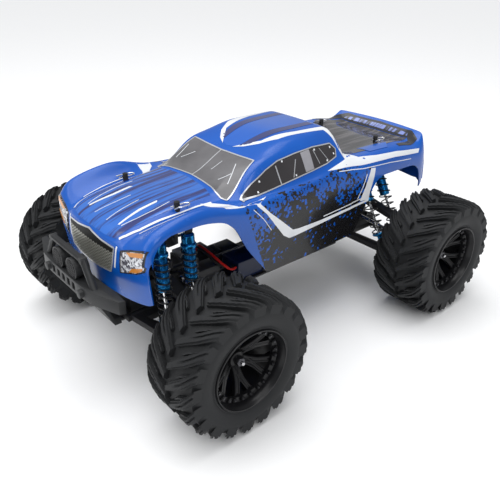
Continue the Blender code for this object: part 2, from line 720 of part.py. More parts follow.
def make_driveline():
    """Centre shaft with its spur gear, the motor and its pinion, in mesh at rest."""
    front_face = FRONT_AXLE_Y + 14.0
    rear_face = REAR_AXLE_Y - 30.0
    low = GEAR_Y - GEAR_WIDTH / 2
    high = GEAR_Y + GEAR_WIDTH / 2
    spur = gear_outline(SPUR_TEETH, (0.0, SHAFT_Z), pi)
    shaft = rod((0.0, front_face - 5.0, SHAFT_Z), (0.0, rear_face + 5.0, SHAFT_Z),
                DRIVE_SHAFT_RADIUS, PIN_SIDES)
    hub = rod((0.0, low - 4.0, SHAFT_Z), (0.0, high + 1.5, SHAFT_Z), 5.0, PIN_SIDES)
    piece("centre_drive_shaft", "gear_white", [plate(spur, "Y", low, high), shaft, hub],
          pivot=(0.0, GEAR_Y, SHAFT_Z))

    pinion = gear_outline(PINION_TEETH, (PINION_X, SHAFT_Z), pi / PINION_TEETH)
    bore = rod((PINION_X, low - 5.0, SHAFT_Z), (PINION_X, high + 5.0, SHAFT_Z), 1.6 + RUNNING_GAP, PIN_SIDES)
    piece("pinion_gear", "steel", [plate(pinion, "Y", low - 1.0, high + 1.0)], [bore],
          pivot=(PINION_X, GEAR_Y, SHAFT_Z))

    back = MOTOR_FRONT + MOTOR_LENGTH
    flange_low = PINION_X - MOTOR_RADIUS
    can = [
        rod((PINION_X, MOTOR_FRONT, SHAFT_Z), (PINION_X, back, SHAFT_Z), MOTOR_RADIUS, 20),
        rod((PINION_X, back - 1.0, SHAFT_Z), (PINION_X, back + 3.0, SHAFT_Z), 6.5),
        rod((PINION_X, low - 1.0, SHAFT_Z), (PINION_X, MOTOR_FRONT + 2.0, SHAFT_Z), 1.6, PIN_SIDES),
        block((flange_low, PINION_X + 12.0), (MOTOR_FRONT, MOTOR_FRONT + 4.0), (CASE_BOTTOM, SHAFT_Z)),
    ]
    piece("motor", "motor_can", can)


def make_steering():
    """Servo, its crank, the sliding cross link and both tie rods."""
    wide, deep, high = SERVO_SIZE
    link_y = FRONT_AXLE_Y + STEERING_ARM
    top = CASE_BOTTOM + high
    box = block((SERVO_X - wide / 2, SERVO_X + wide / 2), (SERVO_Y - 10.0, SERVO_Y - 10.0 + deep),
                (CASE_BOTTOM, top))
    ears = block((SERVO_X - wide / 2, SERVO_X + wide / 2), (SERVO_Y - 16.0, SERVO_Y - 4.0 + deep),
                 (top - 9.0, top - 6.5))
    piece("steering_servo", "black_plastic", [box, ears])

    arm_low = LINK_Z + 3.5
    arm_high = arm_low + 3.5
    crank = [
        rod((SERVO_X, SERVO_Y, top + GAP), (SERVO_X, SERVO_Y, arm_high + 1.0), 5.5),
        block((SERVO_X - 3.0, SERVO_X + 3.0), (link_y - 3.0, SERVO_Y), (arm_low, arm_high)),
        rod((SERVO_X, link_y, LINK_Z - 3.0), (SERVO_X, link_y, arm_high), 1.5, PIN_SIDES),
    ]
    piece("servo_saver", "grey_plastic", crank, pivot=(SERVO_X, SERVO_Y, top))

    bar_near = link_y + 3.0
    bar_far = link_y + 7.0
    half_length = TIE_ROD_INNER_X
    link = [
        block((-half_length - 2.5, half_length + 2.5), (bar_near, bar_far), (LINK_Z - 2.0, LINK_Z + 2.0)),
        block((SERVO_X - 5.0, SERVO_X + 5.0), (link_y - 6.5, bar_far), (LINK_Z - 2.0, LINK_Z + 2.0)),
    ]
    for sign in SIDES.values():
        link.append(rod((sign * half_length, link_y - 3.0, LINK_Z),
                        (sign * half_length, bar_far - 1.0, LINK_Z), 1.5, PIN_SIDES))
    sweep = STEERING_ARM * (1 - cos(radians(25.0)))
    slot = block((SERVO_X - 2.1, SERVO_X + 2.1), (link_y - 4.6, link_y + 2.2 + sweep),
                 (LINK_Z - 5.0, LINK_Z + 5.0))
    piece("steering_link", "grey_plastic", link, [slot], pivot=(0.0, link_y, LINK_Z))

    for side, sign in SIDES.items():
        inner = Vector((sign * TIE_ROD_INNER_X, link_y, LINK_Z))
        outer = Vector((sign * KINGPIN_X, link_y, TIE_ROD_OUTER_Z))
        way = (outer - inner).normalized()
        bar = rod(inner + way * 2.8, outer - way * 5.0, 1.8, PIN_SIDES)
        inner_eye = rod(inner + Vector((0, -2.2, 0)), inner + Vector((0, 2.2, 0)), 3.9)
        outer_eye = rod(outer + Vector((0, 0, -2.0)), outer + Vector((0, 0, 2.0)), 6.4)
        holes = [
            rod(inner + Vector((0, -9, 0)), inner + Vector((0, 9, 0)), 1.5 + RUNNING_GAP, PIN_SIDES),
            rod(outer + Vector((0, 0, -9)), outer + Vector((0, 0, 9)), 1.6 + sweep + RUNNING_GAP),
        ]
        piece(f"tie_rod_{side}", "steel", [bar, inner_eye, outer_eye], holes, pivot=tuple(inner))


def make_electronics():
    """Battery on the left, speed controller and receiver on the right."""
    floor = PLATE_TOP + GAP
    wide, deep, high = BATTERY_SIZE
    start = BATTERY_FRONT
    piece("battery", "battery_wrap", [block((7.0, 7.0 + wide), (start, start + deep), (floor, floor + high))])
    wide, deep, high = CONTROLLER_SIZE
    start = BATTERY_FRONT - deep
    piece("speed_controller", "black_plastic",
          [block((-7.0 - wide, -7.0), (start, start + deep), (floor, floor + high))])
    start = start + deep + 8.0
    wide, deep, high = RECEIVER_SIZE
    piece("receiver_box", "grey_plastic",
          [block((-8.0 - wide, -8.0), (start, start + deep), (floor, floor + high))])


def smooth_points(route, steps):
    """Return points along a smooth curve through the route's own points."""
    dense = []
    count = len(route)
    for i in range(count - 1):
        before = Vector(route[max(i - 1, 0)])
        here = Vector(route[i])
        there = Vector(route[i + 1])
        after = Vector(route[min(i + 2, count - 1)])
        for step in range(steps):
            t = step / steps
            dense.append(
                0.5 * (2 * here + (there - before) * t
                       + (2 * before - 5 * here + 4 * there - after) * t * t
                       + (3 * here - before - 3 * there + after) * t * t * t)
            )
    dense.append(Vector(route[-1]))
    return dense


def make_leads():
    """Red and black power leads, arched from the battery's front to the speed controller."""
    floor = PLATE_TOP + GAP
    battery_front = BATTERY_FRONT
    top = floor + CONTROLLER_SIZE[2]
    over = floor + BATTERY_SIZE[2] + 12.0
    for index, name in enumerate(("red", "black")):
        shift = LEAD_SPACING * index
        route = [
            (34.0 - shift, battery_front - GAP, floor + 18.0),
            (35.0 - shift, battery_front - 9.0, floor + 19.0),
            (30.0 - shift / 2, battery_front - 19.0 - shift, floor + 29.0),
            (12.0, battery_front - 23.0 - shift, over),
            (-10.0, battery_front - 22.0 - shift, over),
            (-18.0, battery_front - 20.0 - shift, top + 5.0),
            (-19.0, battery_front - 20.0 - shift, top + GAP),
        ]
        curve = bpy.data.curves.new("lead", "CURVE")
        curve.dimensions = "3D"
        curve.bevel_depth = LEAD_RADIUS * MM
        curve.bevel_resolution = 2
        curve.use_fill_caps = True
        points = smooth_points(route, 4)
        spline = curve.splines.new("POLY")
        spline.points.add(len(points) - 1)
        for place, point in zip(spline.points, points):
            place.co = (*(point * MM), 1.0)
        curve.materials.append(finish_material(f"{name}_silicone"))
        lead = bpy.data.objects.new(f"power_lead_{name}", curve)
        bpy.context.collection.objects.link(lead)


# ---------------------------------------------------------------- body


def shell_sections():
    """Control sections of the body from nose to tail.

    Each holds its Y on the centre line, how far its outer edge sweeps back, and (x, z) pairs from
    the centre line out: centre, panel edge, panel foot, belt, crest, flank and lower edge. Heights
    are above the axle line."""
    front = FRONT_AXLE_Y
    rear = REAR_AXLE_Y
    cab = SHIFT_Y
    return [
        (front - 57, 13, [(0, 37), (42, 37), (54, 37), (70, 38), (84, 40), (88, 42), (90, 43)]),
        (front - 61, 13, [(0, 66), (42, 66), (56, 69), (70, 73), (86, 81), (90, 82), (91, 75)]),
        (front - 59, 12, [(0, 93), (43, 91), (57, 90), (68, 92), (86, 98), (91, 95), (92, 85)]),
        (front - 53, 9, [(0, 100.5), (46, 99), (55, 96), (66, 98.5), (84, 105), (91, 101), (93, 90)]),
        (front - 35, 3, [(0, 107.5), (46, 106), (56, 103), (68, 107), (83, 116), (92, 109), (93, 43)]),
        (front + 16, 0, [(0, 116.5), (44, 115.5), (55, 110), (68, 113), (83, 124.5), (92, 115), (93.5, 43)]),
        (front + 66, 0, [(0, 120.5), (46, 119), (60, 113), (72, 111.5), (84, 112), (91, 105), (93, 35)]),
        (cab - 50, 2, [(0, 143.5), (44, 144), (60, 143.5), (77, 113), (86, 109.5), (92, 75), (90.5, 25)]),
        (cab + 5, 0, [(0, 158), (44, 157), (62, 147), (78, 115), (86, 111), (92, 73), (90.5, 26)]),
        (cab + 64, 0, [(0, 157), (44, 156), (60, 146), (76, 124), (84, 115), (92, 73), (90.5, 27.5)]),
        (cab + 74, 0, [(0, 125), (44, 125), (60, 126), (72, 126), (82, 117), (91, 85), (91, 28)]),
        (rear - 62, 0, [(0, 115), (46, 117), (62, 120), (74, 121), (84, 115.5), (90, 95), (91, 29)]),
        (rear, 0, [(0, 116), (46, 118), (62, 121), (74, 120), (84, 113.5), (89, 97), (91, 45)]),
        (rear + 42, 0, [(0, 112), (46, 113), (62, 115), (74, 114), (83, 108), (88, 90), (89, 55)]),
        (rear + 70, -15, [(0, 125.5), (46, 125.5), (62, 125.5), (71, 125), (78, 111), (82, 95), (84, 65)]),
        (rear + 60, -13, [(0, 65), (46, 65), (62, 65), (72, 65), (80, 66), (83, 64), (84, 63)]),
    ]


def arch_outline(axle_y, points):
    """Close a wheel-arch lip of (offset from the axle, height above it) pairs well below the shell."""
    lip = [(axle_y + along, AXLE_Z + up) for along, up in points]
    return [(lip[0][0], AXLE_Z - 10.0)] + lip + [(lip[-1][0], AXLE_Z - 10.0)]


FRONT_ARCH = [(-42, 40), (-43, 85), (-35, 103), (-17, 111), (9, 111),
              (37, 106), (53, 95), (71, 65), (103, 24)]
REAR_ARCH = [(-88, 28), (-39, 93), (19, 92), (38, 84), (46, 62)]


def post_places():
    """Body posts as (name, x, y, height of the shell there above the axle line)."""
    return [
        (f"{end}_{side}", sign * x, y, height)
        for end, x, y, height in (
            ("front", POST_X_FRONT, FRONT_AXLE_Y + POST_BEHIND_FRONT_AXLE, 112.5),
            ("rear", POST_X_REAR, REAR_AXLE_Y - POST_AHEAD_OF_REAR_AXLE, 118.2),
        )
        for side, sign in SIDES.items()
    ]


def make_shell():
    """Thin moulded body: lofted skin with thickness, wheel arches and post holes cut out."""
    skin = bmesh.new()
    rows = []
    for y, sweep, points in shell_sections():
        whole = [(-x, z) for x, z in reversed(points)] + points[1:]
        rows.append([skin.verts.new((x, y + sweep * (x / 92) ** 2, AXLE_Z + z)) for x, z in whole])
    for near, far in zip(rows, rows[1:]):
        for i in range(len(near) - 1):
            skin.faces.new((near[i], near[i + 1], far[i + 1], far[i]))
    holder = loose_object(skin)
    wall = holder.modifiers.new("wall", "SOLIDIFY")
    wall.thickness = SHELL_THICKNESS * MM
    wall.offset = -1.0
    wall.use_even_offset = True
    graph = bpy.context.evaluated_depsgraph_get()
    mesh = bpy.data.meshes.new_from_object(holder.evaluated_get(graph))
    bpy.data.objects.remove(holder, do_unlink=True)
    shell = bmesh.new()
    shell.from_mesh(mesh)
    bpy.data.meshes.remove(mesh)
    bmesh.ops.scale(shell, vec=(1 / MM, 1 / MM, 1 / MM), verts=shell.verts)
    cuts = []
    for sign in SIDES.values():
        reach = sorted((sign * ARCH_DEPTH_X, sign * 120.0))
        cuts.append(plate(arch_outline(FRONT_AXLE_Y, FRONT_ARCH), "X", *reach))
        cuts.append(plate(arch_outline(REAR_AXLE_Y, REAR_ARCH), "X", *reach))
    for _, x, y, height in post_places():
        cuts.append(rod((x, y, AXLE_Z + height - 20.0), (x, y, AXLE_Z + height + 20.0),
                        POST_RADIUS + 1.2, PIN_SIDES))
    piece("body_shell", "blue_lexan", [outward(shell)], cuts)


def make_body_mounts():
    """Cross bars with two posts each, and the spring clips through the posts."""
    for end, behind in (("front", 1), ("rear", -1)):
        y_tower = ENDS[end] + behind * (TOWER_THICKNESS / 2 + GAP)
        top_z = shock_ends(end)[0][1]
        posts = [place for place in post_places() if place[0].startswith(end)]
        post_y = posts[0][2]
        reach = max(abs(place[1]) for place in posts)
        bar_z = (top_z - 9.0, top_z - 4.0)
        far_y = post_y + behind * 2.0
        shapes = [block((-reach - 2.5, reach + 2.5), sorted((y_tower, far_y)), bar_z)]
        cuts = []
        for _, x, y, height in posts:
            top = AXLE_Z + height + 8.5
            shapes.append(rod((x, y, top_z - 10.0), (x, y, top), POST_RADIUS))
            cuts.append(rod((x, y - 10.0, top - 4.0), (x, y + 10.0, top - 4.0), CLIP_WIRE + GAP, 8))
        if end == "front":
            inner = shock_ends(end)[0][0] - 11.5
            gap_y = sorted((FRONT_AXLE_Y + 9.0, FRONT_AXLE_Y + 40.0))
            cuts += [
                block(sorted((s * (inner + 4.0), s * (reach + 20.0))), gap_y, (top_z - 20.0, top_z + 5.0))
                for s in SIDES.values()
            ]
        piece(f"{end}_body_posts", "black_plastic", shapes, cuts)
    for name, x, y, height in post_places():
        make_clip(name, x, y, AXLE_Z + height + 4.5)


def make_clip(name, x, y, z):
    """Spring clip: a straight leg through the post, a loop, and a bowed leg outside the post."""
    sign = 1 if x > 0 else -1
    loop = 3.6
    path = [(-9.0, 0.0), (-3.0, 0.0), (3.0, 0.0), (9.0, 0.0)]
    for step in range(1, 9):
        angle = -pi / 2 + step * pi * 1.25 / 8
        path.append((9.0 + loop * cos(angle), loop + loop * sin(angle)))
    path += [(4.0, 6.4), (1.6, 5.4), (-2.0, 5.2), (-5.0, 4.4), (-8.5, 6.5)]
    wire = bpy.data.curves.new("wire", "CURVE")
    wire.dimensions = "3D"
    wire.bevel_depth = CLIP_WIRE * MM
    wire.bevel_resolution = 1
    wire.use_fill_caps = True
    spline = wire.splines.new("POLY")
    spline.points.add(len(path) - 1)
    for point, (along, out) in zip(spline.points, path):
        point.co = (sign * out * MM, along * MM, 0.0, 1.0)
    clip = bpy.data.objects.new(f"body_clip_{name}", wire)
    clip.location = Vector((x, y, z)) * MM
    wire.materials.append(finish_material("steel"))
    bpy.context.collection.objects.link(clip)


def make_bumper():
    """Front bumper: skid, swept bar, tow rings, hoop and two lamp pods."""
    nose = FRONT_AXLE_Y - FRONT_OVERHANG
    bar_low = AXLE_Z + 43.0
    bar_high = AXLE_Z + 57.0
    skid_back = FRONT_AXLE_Y - 44.0
    skid_low = PLATE_TOP - PLATE_THICKNESS
    bar = [
        (-86, nose + 23), (-84, nose + 17), (-52, nose + 5), (-30, nose + 3), (30, nose + 3), (52, nose + 5),
        (84, nose + 17), (86, nose + 23), (60, nose + 24), (40, nose + 22),
        (-40, nose + 22), (-60, nose + 24),
    ]
    skid = [
        (skid_back, skid_low), (skid_back - 8, skid_low), (nose + 12, bar_low + 2), (nose + 12, bar_low + 8),
        (nose + 20, bar_low + 8), (skid_back - 8, skid_low + 8), (skid_back, skid_low + 8),
    ]
    shapes = [
        plate(bar, "Z", bar_low, bar_high),
        plate(skid, "X", -20.0, 20.0),
    ]
    hoop = [(-50, 0), (-32, 27), (32, 27), (50, 0)]
    y = nose + 11.0
    for (x0, z0), (x1, z1) in zip(hoop, hoop[1:]):
        shapes.append(rod((x0, y, bar_high - 3 + z0), (x1, y, bar_high - 3 + z1), 3.6, 10))
    for x, z in hoop[1:-1]:
        shapes.append(rod((x, y - 3.4, bar_high - 3 + z), (x, y + 3.4, bar_high - 3 + z), 3.6, 10))
    for sign in SIDES.values():
        pod = rod((sign * 15.0, nose + 6, bar_high + 9.5), (sign * 15.0, nose + 20, bar_high + 9.5), 11.0, 20)
        shapes.append(pod)
        shapes.append(rod((sign * 36, nose, bar_low + 6), (sign * 36, nose + 6, bar_low + 6), 4.6, PIN_SIDES))
    cuts = [
        block((-27 + 11 * i, -21 + 11 * i), (nose - 5, nose + 9), (bar_low + 3, bar_high - 3))
        for i in range(5)
    ]
    piece("front_bumper", "grey_plastic", shapes, cuts)


def build():
    """Make every sub-part of the truck."""
    clear_scene()
    make_chassis()
    for end in ENDS:
        make_gear_case(end)
        make_tower(end)
        for side in SIDES:
            make_wheel(end, side)
            make_lower_arm(end, side)
            make_upper_arm(end, side)
            make_shocks(end, side)
            make_drive_shaft(end, side)
    for side in SIDES:
        make_front_upright(side)
        make_rear_upright(side)
    make_driveline()
    make_steering()
    make_electronics()
    make_leads()
    make_shell()
    make_body_mounts()
    make_bumper()


build()
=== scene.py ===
"""A radio-controlled monster truck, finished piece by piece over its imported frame.

Every assembly of the truck is a class whose size fields are millimetres in the frame of the model:
+X to the right, -Y ahead and +Z up, with the tyres standing on z = 0.
"""

import logging
import math
from dataclasses import dataclass
from enum import Enum

import bmesh
import bpy
import numpy as np
from mathutils import Matrix, Vector
from mathutils.bvhtree import BVHTree


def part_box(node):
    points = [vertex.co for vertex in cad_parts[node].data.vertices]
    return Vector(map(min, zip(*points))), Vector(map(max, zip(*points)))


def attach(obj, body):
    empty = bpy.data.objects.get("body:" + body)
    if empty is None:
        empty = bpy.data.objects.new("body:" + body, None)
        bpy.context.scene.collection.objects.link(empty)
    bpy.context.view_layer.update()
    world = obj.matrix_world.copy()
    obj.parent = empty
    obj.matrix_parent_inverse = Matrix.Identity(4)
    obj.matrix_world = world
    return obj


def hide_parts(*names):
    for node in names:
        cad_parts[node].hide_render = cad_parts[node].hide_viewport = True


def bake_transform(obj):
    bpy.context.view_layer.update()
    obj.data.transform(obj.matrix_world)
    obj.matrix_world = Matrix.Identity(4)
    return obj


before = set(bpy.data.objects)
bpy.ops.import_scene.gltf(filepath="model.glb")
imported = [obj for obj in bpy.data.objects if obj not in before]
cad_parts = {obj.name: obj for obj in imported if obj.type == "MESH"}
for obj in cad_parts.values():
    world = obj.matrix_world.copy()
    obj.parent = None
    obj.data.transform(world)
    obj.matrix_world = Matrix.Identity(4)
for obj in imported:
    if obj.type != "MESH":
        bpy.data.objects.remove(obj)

LOG = logging.getLogger("truck")
MM = 0.001
MERGE_DISTANCE = 1e-6
SMOOTH_ANGLE = math.radians(38)
BEVEL_ANGLE = math.radians(32)

Point = tuple[float, float, float]
Flat = tuple[float, float]
Colour = tuple[float, float, float]


class Side(Enum):
    """The driver's two sides of the truck, as the sign of X."""

    LEFT = 1
    RIGHT = -1

    @property
    def label(self) -> str:
        """The word that names carry."""
        return self.name.lower()


class End(Enum):
    """The two axles, as their distance along Y in millimetres."""

    FRONT = -155.5
    REAR = 174.5

    @property
    def label(self) -> str:
        """The word that names carry."""
        return self.name.lower()


class Axis(Enum):
    """The axis an outline is drawn out along."""

    X = 0
    Y = 1
    Z = 2


class Pattern(Enum):
    """How a finish varies over its surface."""

    MOULDED = "moulded"
    BRUSHED = "brushed"
    RUBBER = "rubber"
    GLOSS = "gloss"
    CHROME = "chrome"


# ---------------------------------------------------------------- finishes


def socket(group: bpy.types.NodeTree, name: str, kind: str, flow: str = "INPUT", value=None) -> None:
    """Adds one named socket to a node group.

    Args:
        group: the group it goes on.
        name: its label.
        kind: the socket's type name without its prefix.
        flow: INPUT or OUTPUT.
        value: the input's starting value.
    """
    made = group.interface.new_socket(name, in_out=flow, socket_type=f"NodeSocket{kind}")
    if value is not None:
        made.default_value = value


def surface_group() -> bpy.types.NodeTree:
    """Builds once the shared effect that gives a finish its grain, tone and wear.

    Returns:
        the shader node group.
    """
    found = bpy.data.node_groups.get("surface_variation")
    if found:
        return found
    group = bpy.data.node_groups.new("surface_variation", "ShaderNodeTree")
    socket(group, "Base", "Color", value=(0.5, 0.5, 0.5, 1))
    socket(group, "Second", "Color", value=(0.4, 0.4, 0.4, 1))
    socket(group, "Scale", "Float", value=60.0)
    socket(group, "Grain", "Float", value=900.0)
    socket(group, "Stretch", "Vector", value=(1, 1, 1))
    socket(group, "Roughness", "Float", value=0.4)
    socket(group, "Spread", "Float", value=0.1)
    for name, kind in (("Color", "Color"), ("Roughness", "Float"), ("Height", "Float")):
        socket(group, name, kind, "OUTPUT")
    nodes, links = group.nodes, group.links
    entry, leave = nodes.new("NodeGroupInput"), nodes.new("NodeGroupOutput")
    place = nodes.new("ShaderNodeTexCoord")
    stretch = nodes.new("ShaderNodeVectorMath")
    stretch.operation = "MULTIPLY"
    cloud, grain = nodes.new("ShaderNodeTexNoise"), nodes.new("ShaderNodeTexNoise")
    cloud.inputs["Detail"].default_value = 5
    grain.inputs["Detail"].default_value = 2
    tone = nodes.new("ShaderNodeMix")
    tone.data_type = "RGBA"
    rough = nodes.new("ShaderNodeMath")
    rough.operation = "MULTIPLY_ADD"
    offset = nodes.new("ShaderNodeMath")
    offset.operation = "SUBTRACT"
    offset.inputs[1].default_value = 0.5
    links.new(place.outputs["Object"], stretch.inputs[0])
    links.new(entry.outputs["Stretch"], stretch.inputs[1])
    for noise, scale in ((cloud, "Scale"), (grain, "Grain")):
        links.new(stretch.outputs[0], noise.inputs["Vector"])
        links.new(entry.outputs[scale], noise.inputs["Scale"])
    links.new(cloud.outputs[0], tone.inputs["Factor"])
    links.new(entry.outputs["Base"], tone.inputs["A"])
    links.new(entry.outputs["Second"], tone.inputs["B"])
    links.new(tone.outputs["Result"], leave.inputs["Color"])
    links.new(cloud.outputs[0], offset.inputs[0])
    links.new(offset.outputs[0], rough.inputs[0])
    links.new(entry.outputs["Spread"], rough.inputs[1])
    links.new(entry.outputs["Roughness"], rough.inputs[2])
    links.new(rough.outputs[0], leave.inputs["Roughness"])
    links.new(grain.outputs[0], leave.inputs["Height"])
    return group


@dataclass(frozen=True)
class Finish:
    """One surface finish.

    Attributes:
        name: the material's name.
        base: the main colour, linear.
        second: the colour that the cloudy variation moves to.
        rough: the middle roughness.
        pattern: how it varies.
        metal: the metallic value.
        coat: the clear coat's weight.
        bump: the grain's depth in millimetres.
        alpha: how opaque it is.
        shine: the specular level, where 0.5 is plain plastic.
    """

    name: str
    base: Colour
    second: Colour
    rough: float
    pattern: Pattern = Pattern.MOULDED
    metal: float = 0.0
    coat: float = 0.0
    bump: float = 0.02
    alpha: float = 1.0
    shine: float = 0.22

    GRAIN = {
        Pattern.MOULDED: (45.0, 1400.0, (1, 1, 1), 0.16),
        Pattern.BRUSHED: (90.0, 700.0, (1, 1, 9), 0.14),
        Pattern.RUBBER: (35.0, 900.0, (1, 1, 1), 0.2),
        Pattern.GLOSS: (20.0, 250.0, (1, 1, 1), 0.06),
        Pattern.CHROME: (30.0, 500.0, (1, 1, 1), 0.08),
    }

    def material(self) -> bpy.types.Material:
        """Makes the material, or finds it if it has been made.

        Returns:
            the node-based material.
        """
        found = bpy.data.materials.get(self.name)
        if found:
            return found
        made = bpy.data.materials.new(self.name)
        made.use_nodes = True
        nodes, links = made.node_tree.nodes, made.node_tree.links
        shader = nodes["Principled BSDF"]
        effect = nodes.new("ShaderNodeGroup")
        effect.node_tree = surface_group()
        scale, grain, stretch, spread = self.GRAIN[self.pattern]
        effect.inputs["Base"].default_value = (*self.base, 1)
        effect.inputs["Second"].default_value = (*self.second, 1)
        effect.inputs["Scale"].default_value = scale
        effect.inputs["Grain"].default_value = grain
        effect.inputs["Stretch"].default_value = stretch
        effect.inputs["Roughness"].default_value = self.rough
        effect.inputs["Spread"].default_value = spread
        bump = nodes.new("ShaderNodeBump")
        bump.inputs["Distance"].default_value = self.bump * MM
        links.new(effect.outputs["Color"], shader.inputs["Base Color"])
        links.new(effect.outputs["Roughness"], shader.inputs["Roughness"])
        links.new(effect.outputs["Height"], bump.inputs["Height"])
        links.new(bump.outputs["Normal"], shader.inputs["Normal"])
        shader.inputs["Metallic"].default_value = self.metal
        shader.inputs["Coat Weight"].default_value = self.coat
        shader.inputs["Alpha"].default_value = self.alpha
        shader.inputs["Specular IOR Level"].default_value = self.shine
        made.diffuse_color = (*self.base, 1)
        return made


RUBBER = Finish("tyre_rubber", (0.012, 0.0125, 0.013), (0.022, 0.023, 0.025), 0.6, Pattern.RUBBER, bump=0.05)
RIM_BLACK = Finish("rim_black", (0.004, 0.004, 0.005), (0.01, 0.01, 0.011), 0.3, Pattern.GLOSS, coat=0.1)
NYLON = Finish("black_nylon", (0.012, 0.012, 0.013), (0.028, 0.028, 0.03), 0.42, bump=0.05)
BUMPER_GREY = Finish("bumper_nylon", (0.014, 0.0145, 0.015), (0.03, 0.031, 0.033), 0.42, bump=0.06)
STEEL = Finish("screw_steel", (0.42, 0.42, 0.43), (0.58, 0.58, 0.6), 0.24, Pattern.BRUSHED, 1.0)
BOLT_BLACK = Finish("bolt_black", (0.05, 0.05, 0.055), (0.12, 0.12, 0.13), 0.3, Pattern.BRUSHED, 0.8)
CHROME = Finish("chrome", (0.78, 0.79, 0.8), (0.9, 0.9, 0.92), 0.1, Pattern.CHROME, 1.0, bump=0.0)
BLUE_ANODISED = Finish(
    "blue_anodised", (0.012, 0.16, 0.42), (0.02, 0.26, 0.56), 0.24, Pattern.BRUSHED, 0.85, bump=0.01
)
SPRING_BLACK = Finish("spring_black", (0.01, 0.01, 0.011), (0.022, 0.022, 0.024), 0.3, Pattern.GLOSS,
    coat=0.3)
MOTOR_SILVER = Finish("motor_can", (0.3, 0.31, 0.33), (0.42, 0.43, 0.45), 0.3, Pattern.BRUSHED, 0.9)
GEAR_BLACK = Finish("gear_plastic", (0.016, 0.016, 0.017), (0.03, 0.03, 0.032), 0.36, bump=0.02)
BATTERY_BLUE = Finish("battery_wrap", (0.006, 0.012, 0.04), (0.01, 0.02, 0.07), 0.3, Pattern.GLOSS, coat=0.3)
CASE_DARK = Finish("case_dark", (0.02, 0.02, 0.022), (0.035, 0.035, 0.038), 0.35, bump=0.04)
RED_WIRE = Finish("red_wire", (0.55, 0.012, 0.01), (0.65, 0.02, 0.014), 0.4, bump=0.02)
BLACK_WIRE = Finish("black_wire", (0.012, 0.012, 0.012), (0.02, 0.02, 0.02), 0.42, bump=0.02)
WHITE_VINYL = Finish("white_vinyl", (0.83, 0.85, 0.87), (0.74, 0.76, 0.8), 0.22, Pattern.GLOSS, coat=0.6)
SILVER_VINYL = Finish("silver_vinyl", (0.5, 0.51, 0.53), (0.66, 0.67, 0.7), 0.28, Pattern.GLOSS, 0.55, 0.4)
DARK_VINYL = Finish("dark_vinyl", (0.012, 0.012, 0.014), (0.03, 0.03, 0.034), 0.25, Pattern.GLOSS, coat=0.5)
AMBER = Finish("amber_lamp", (0.42, 0.12, 0.012), (0.7, 0.3, 0.05), 0.18, Pattern.GLOSS, coat=0.7)
FLOOR_WHITE = Finish("studio_floor", (0.93, 0.93, 0.93), (0.95, 0.95, 0.95), 0.9, bump=0.0)


# ---------------------------------------------------------------- solids


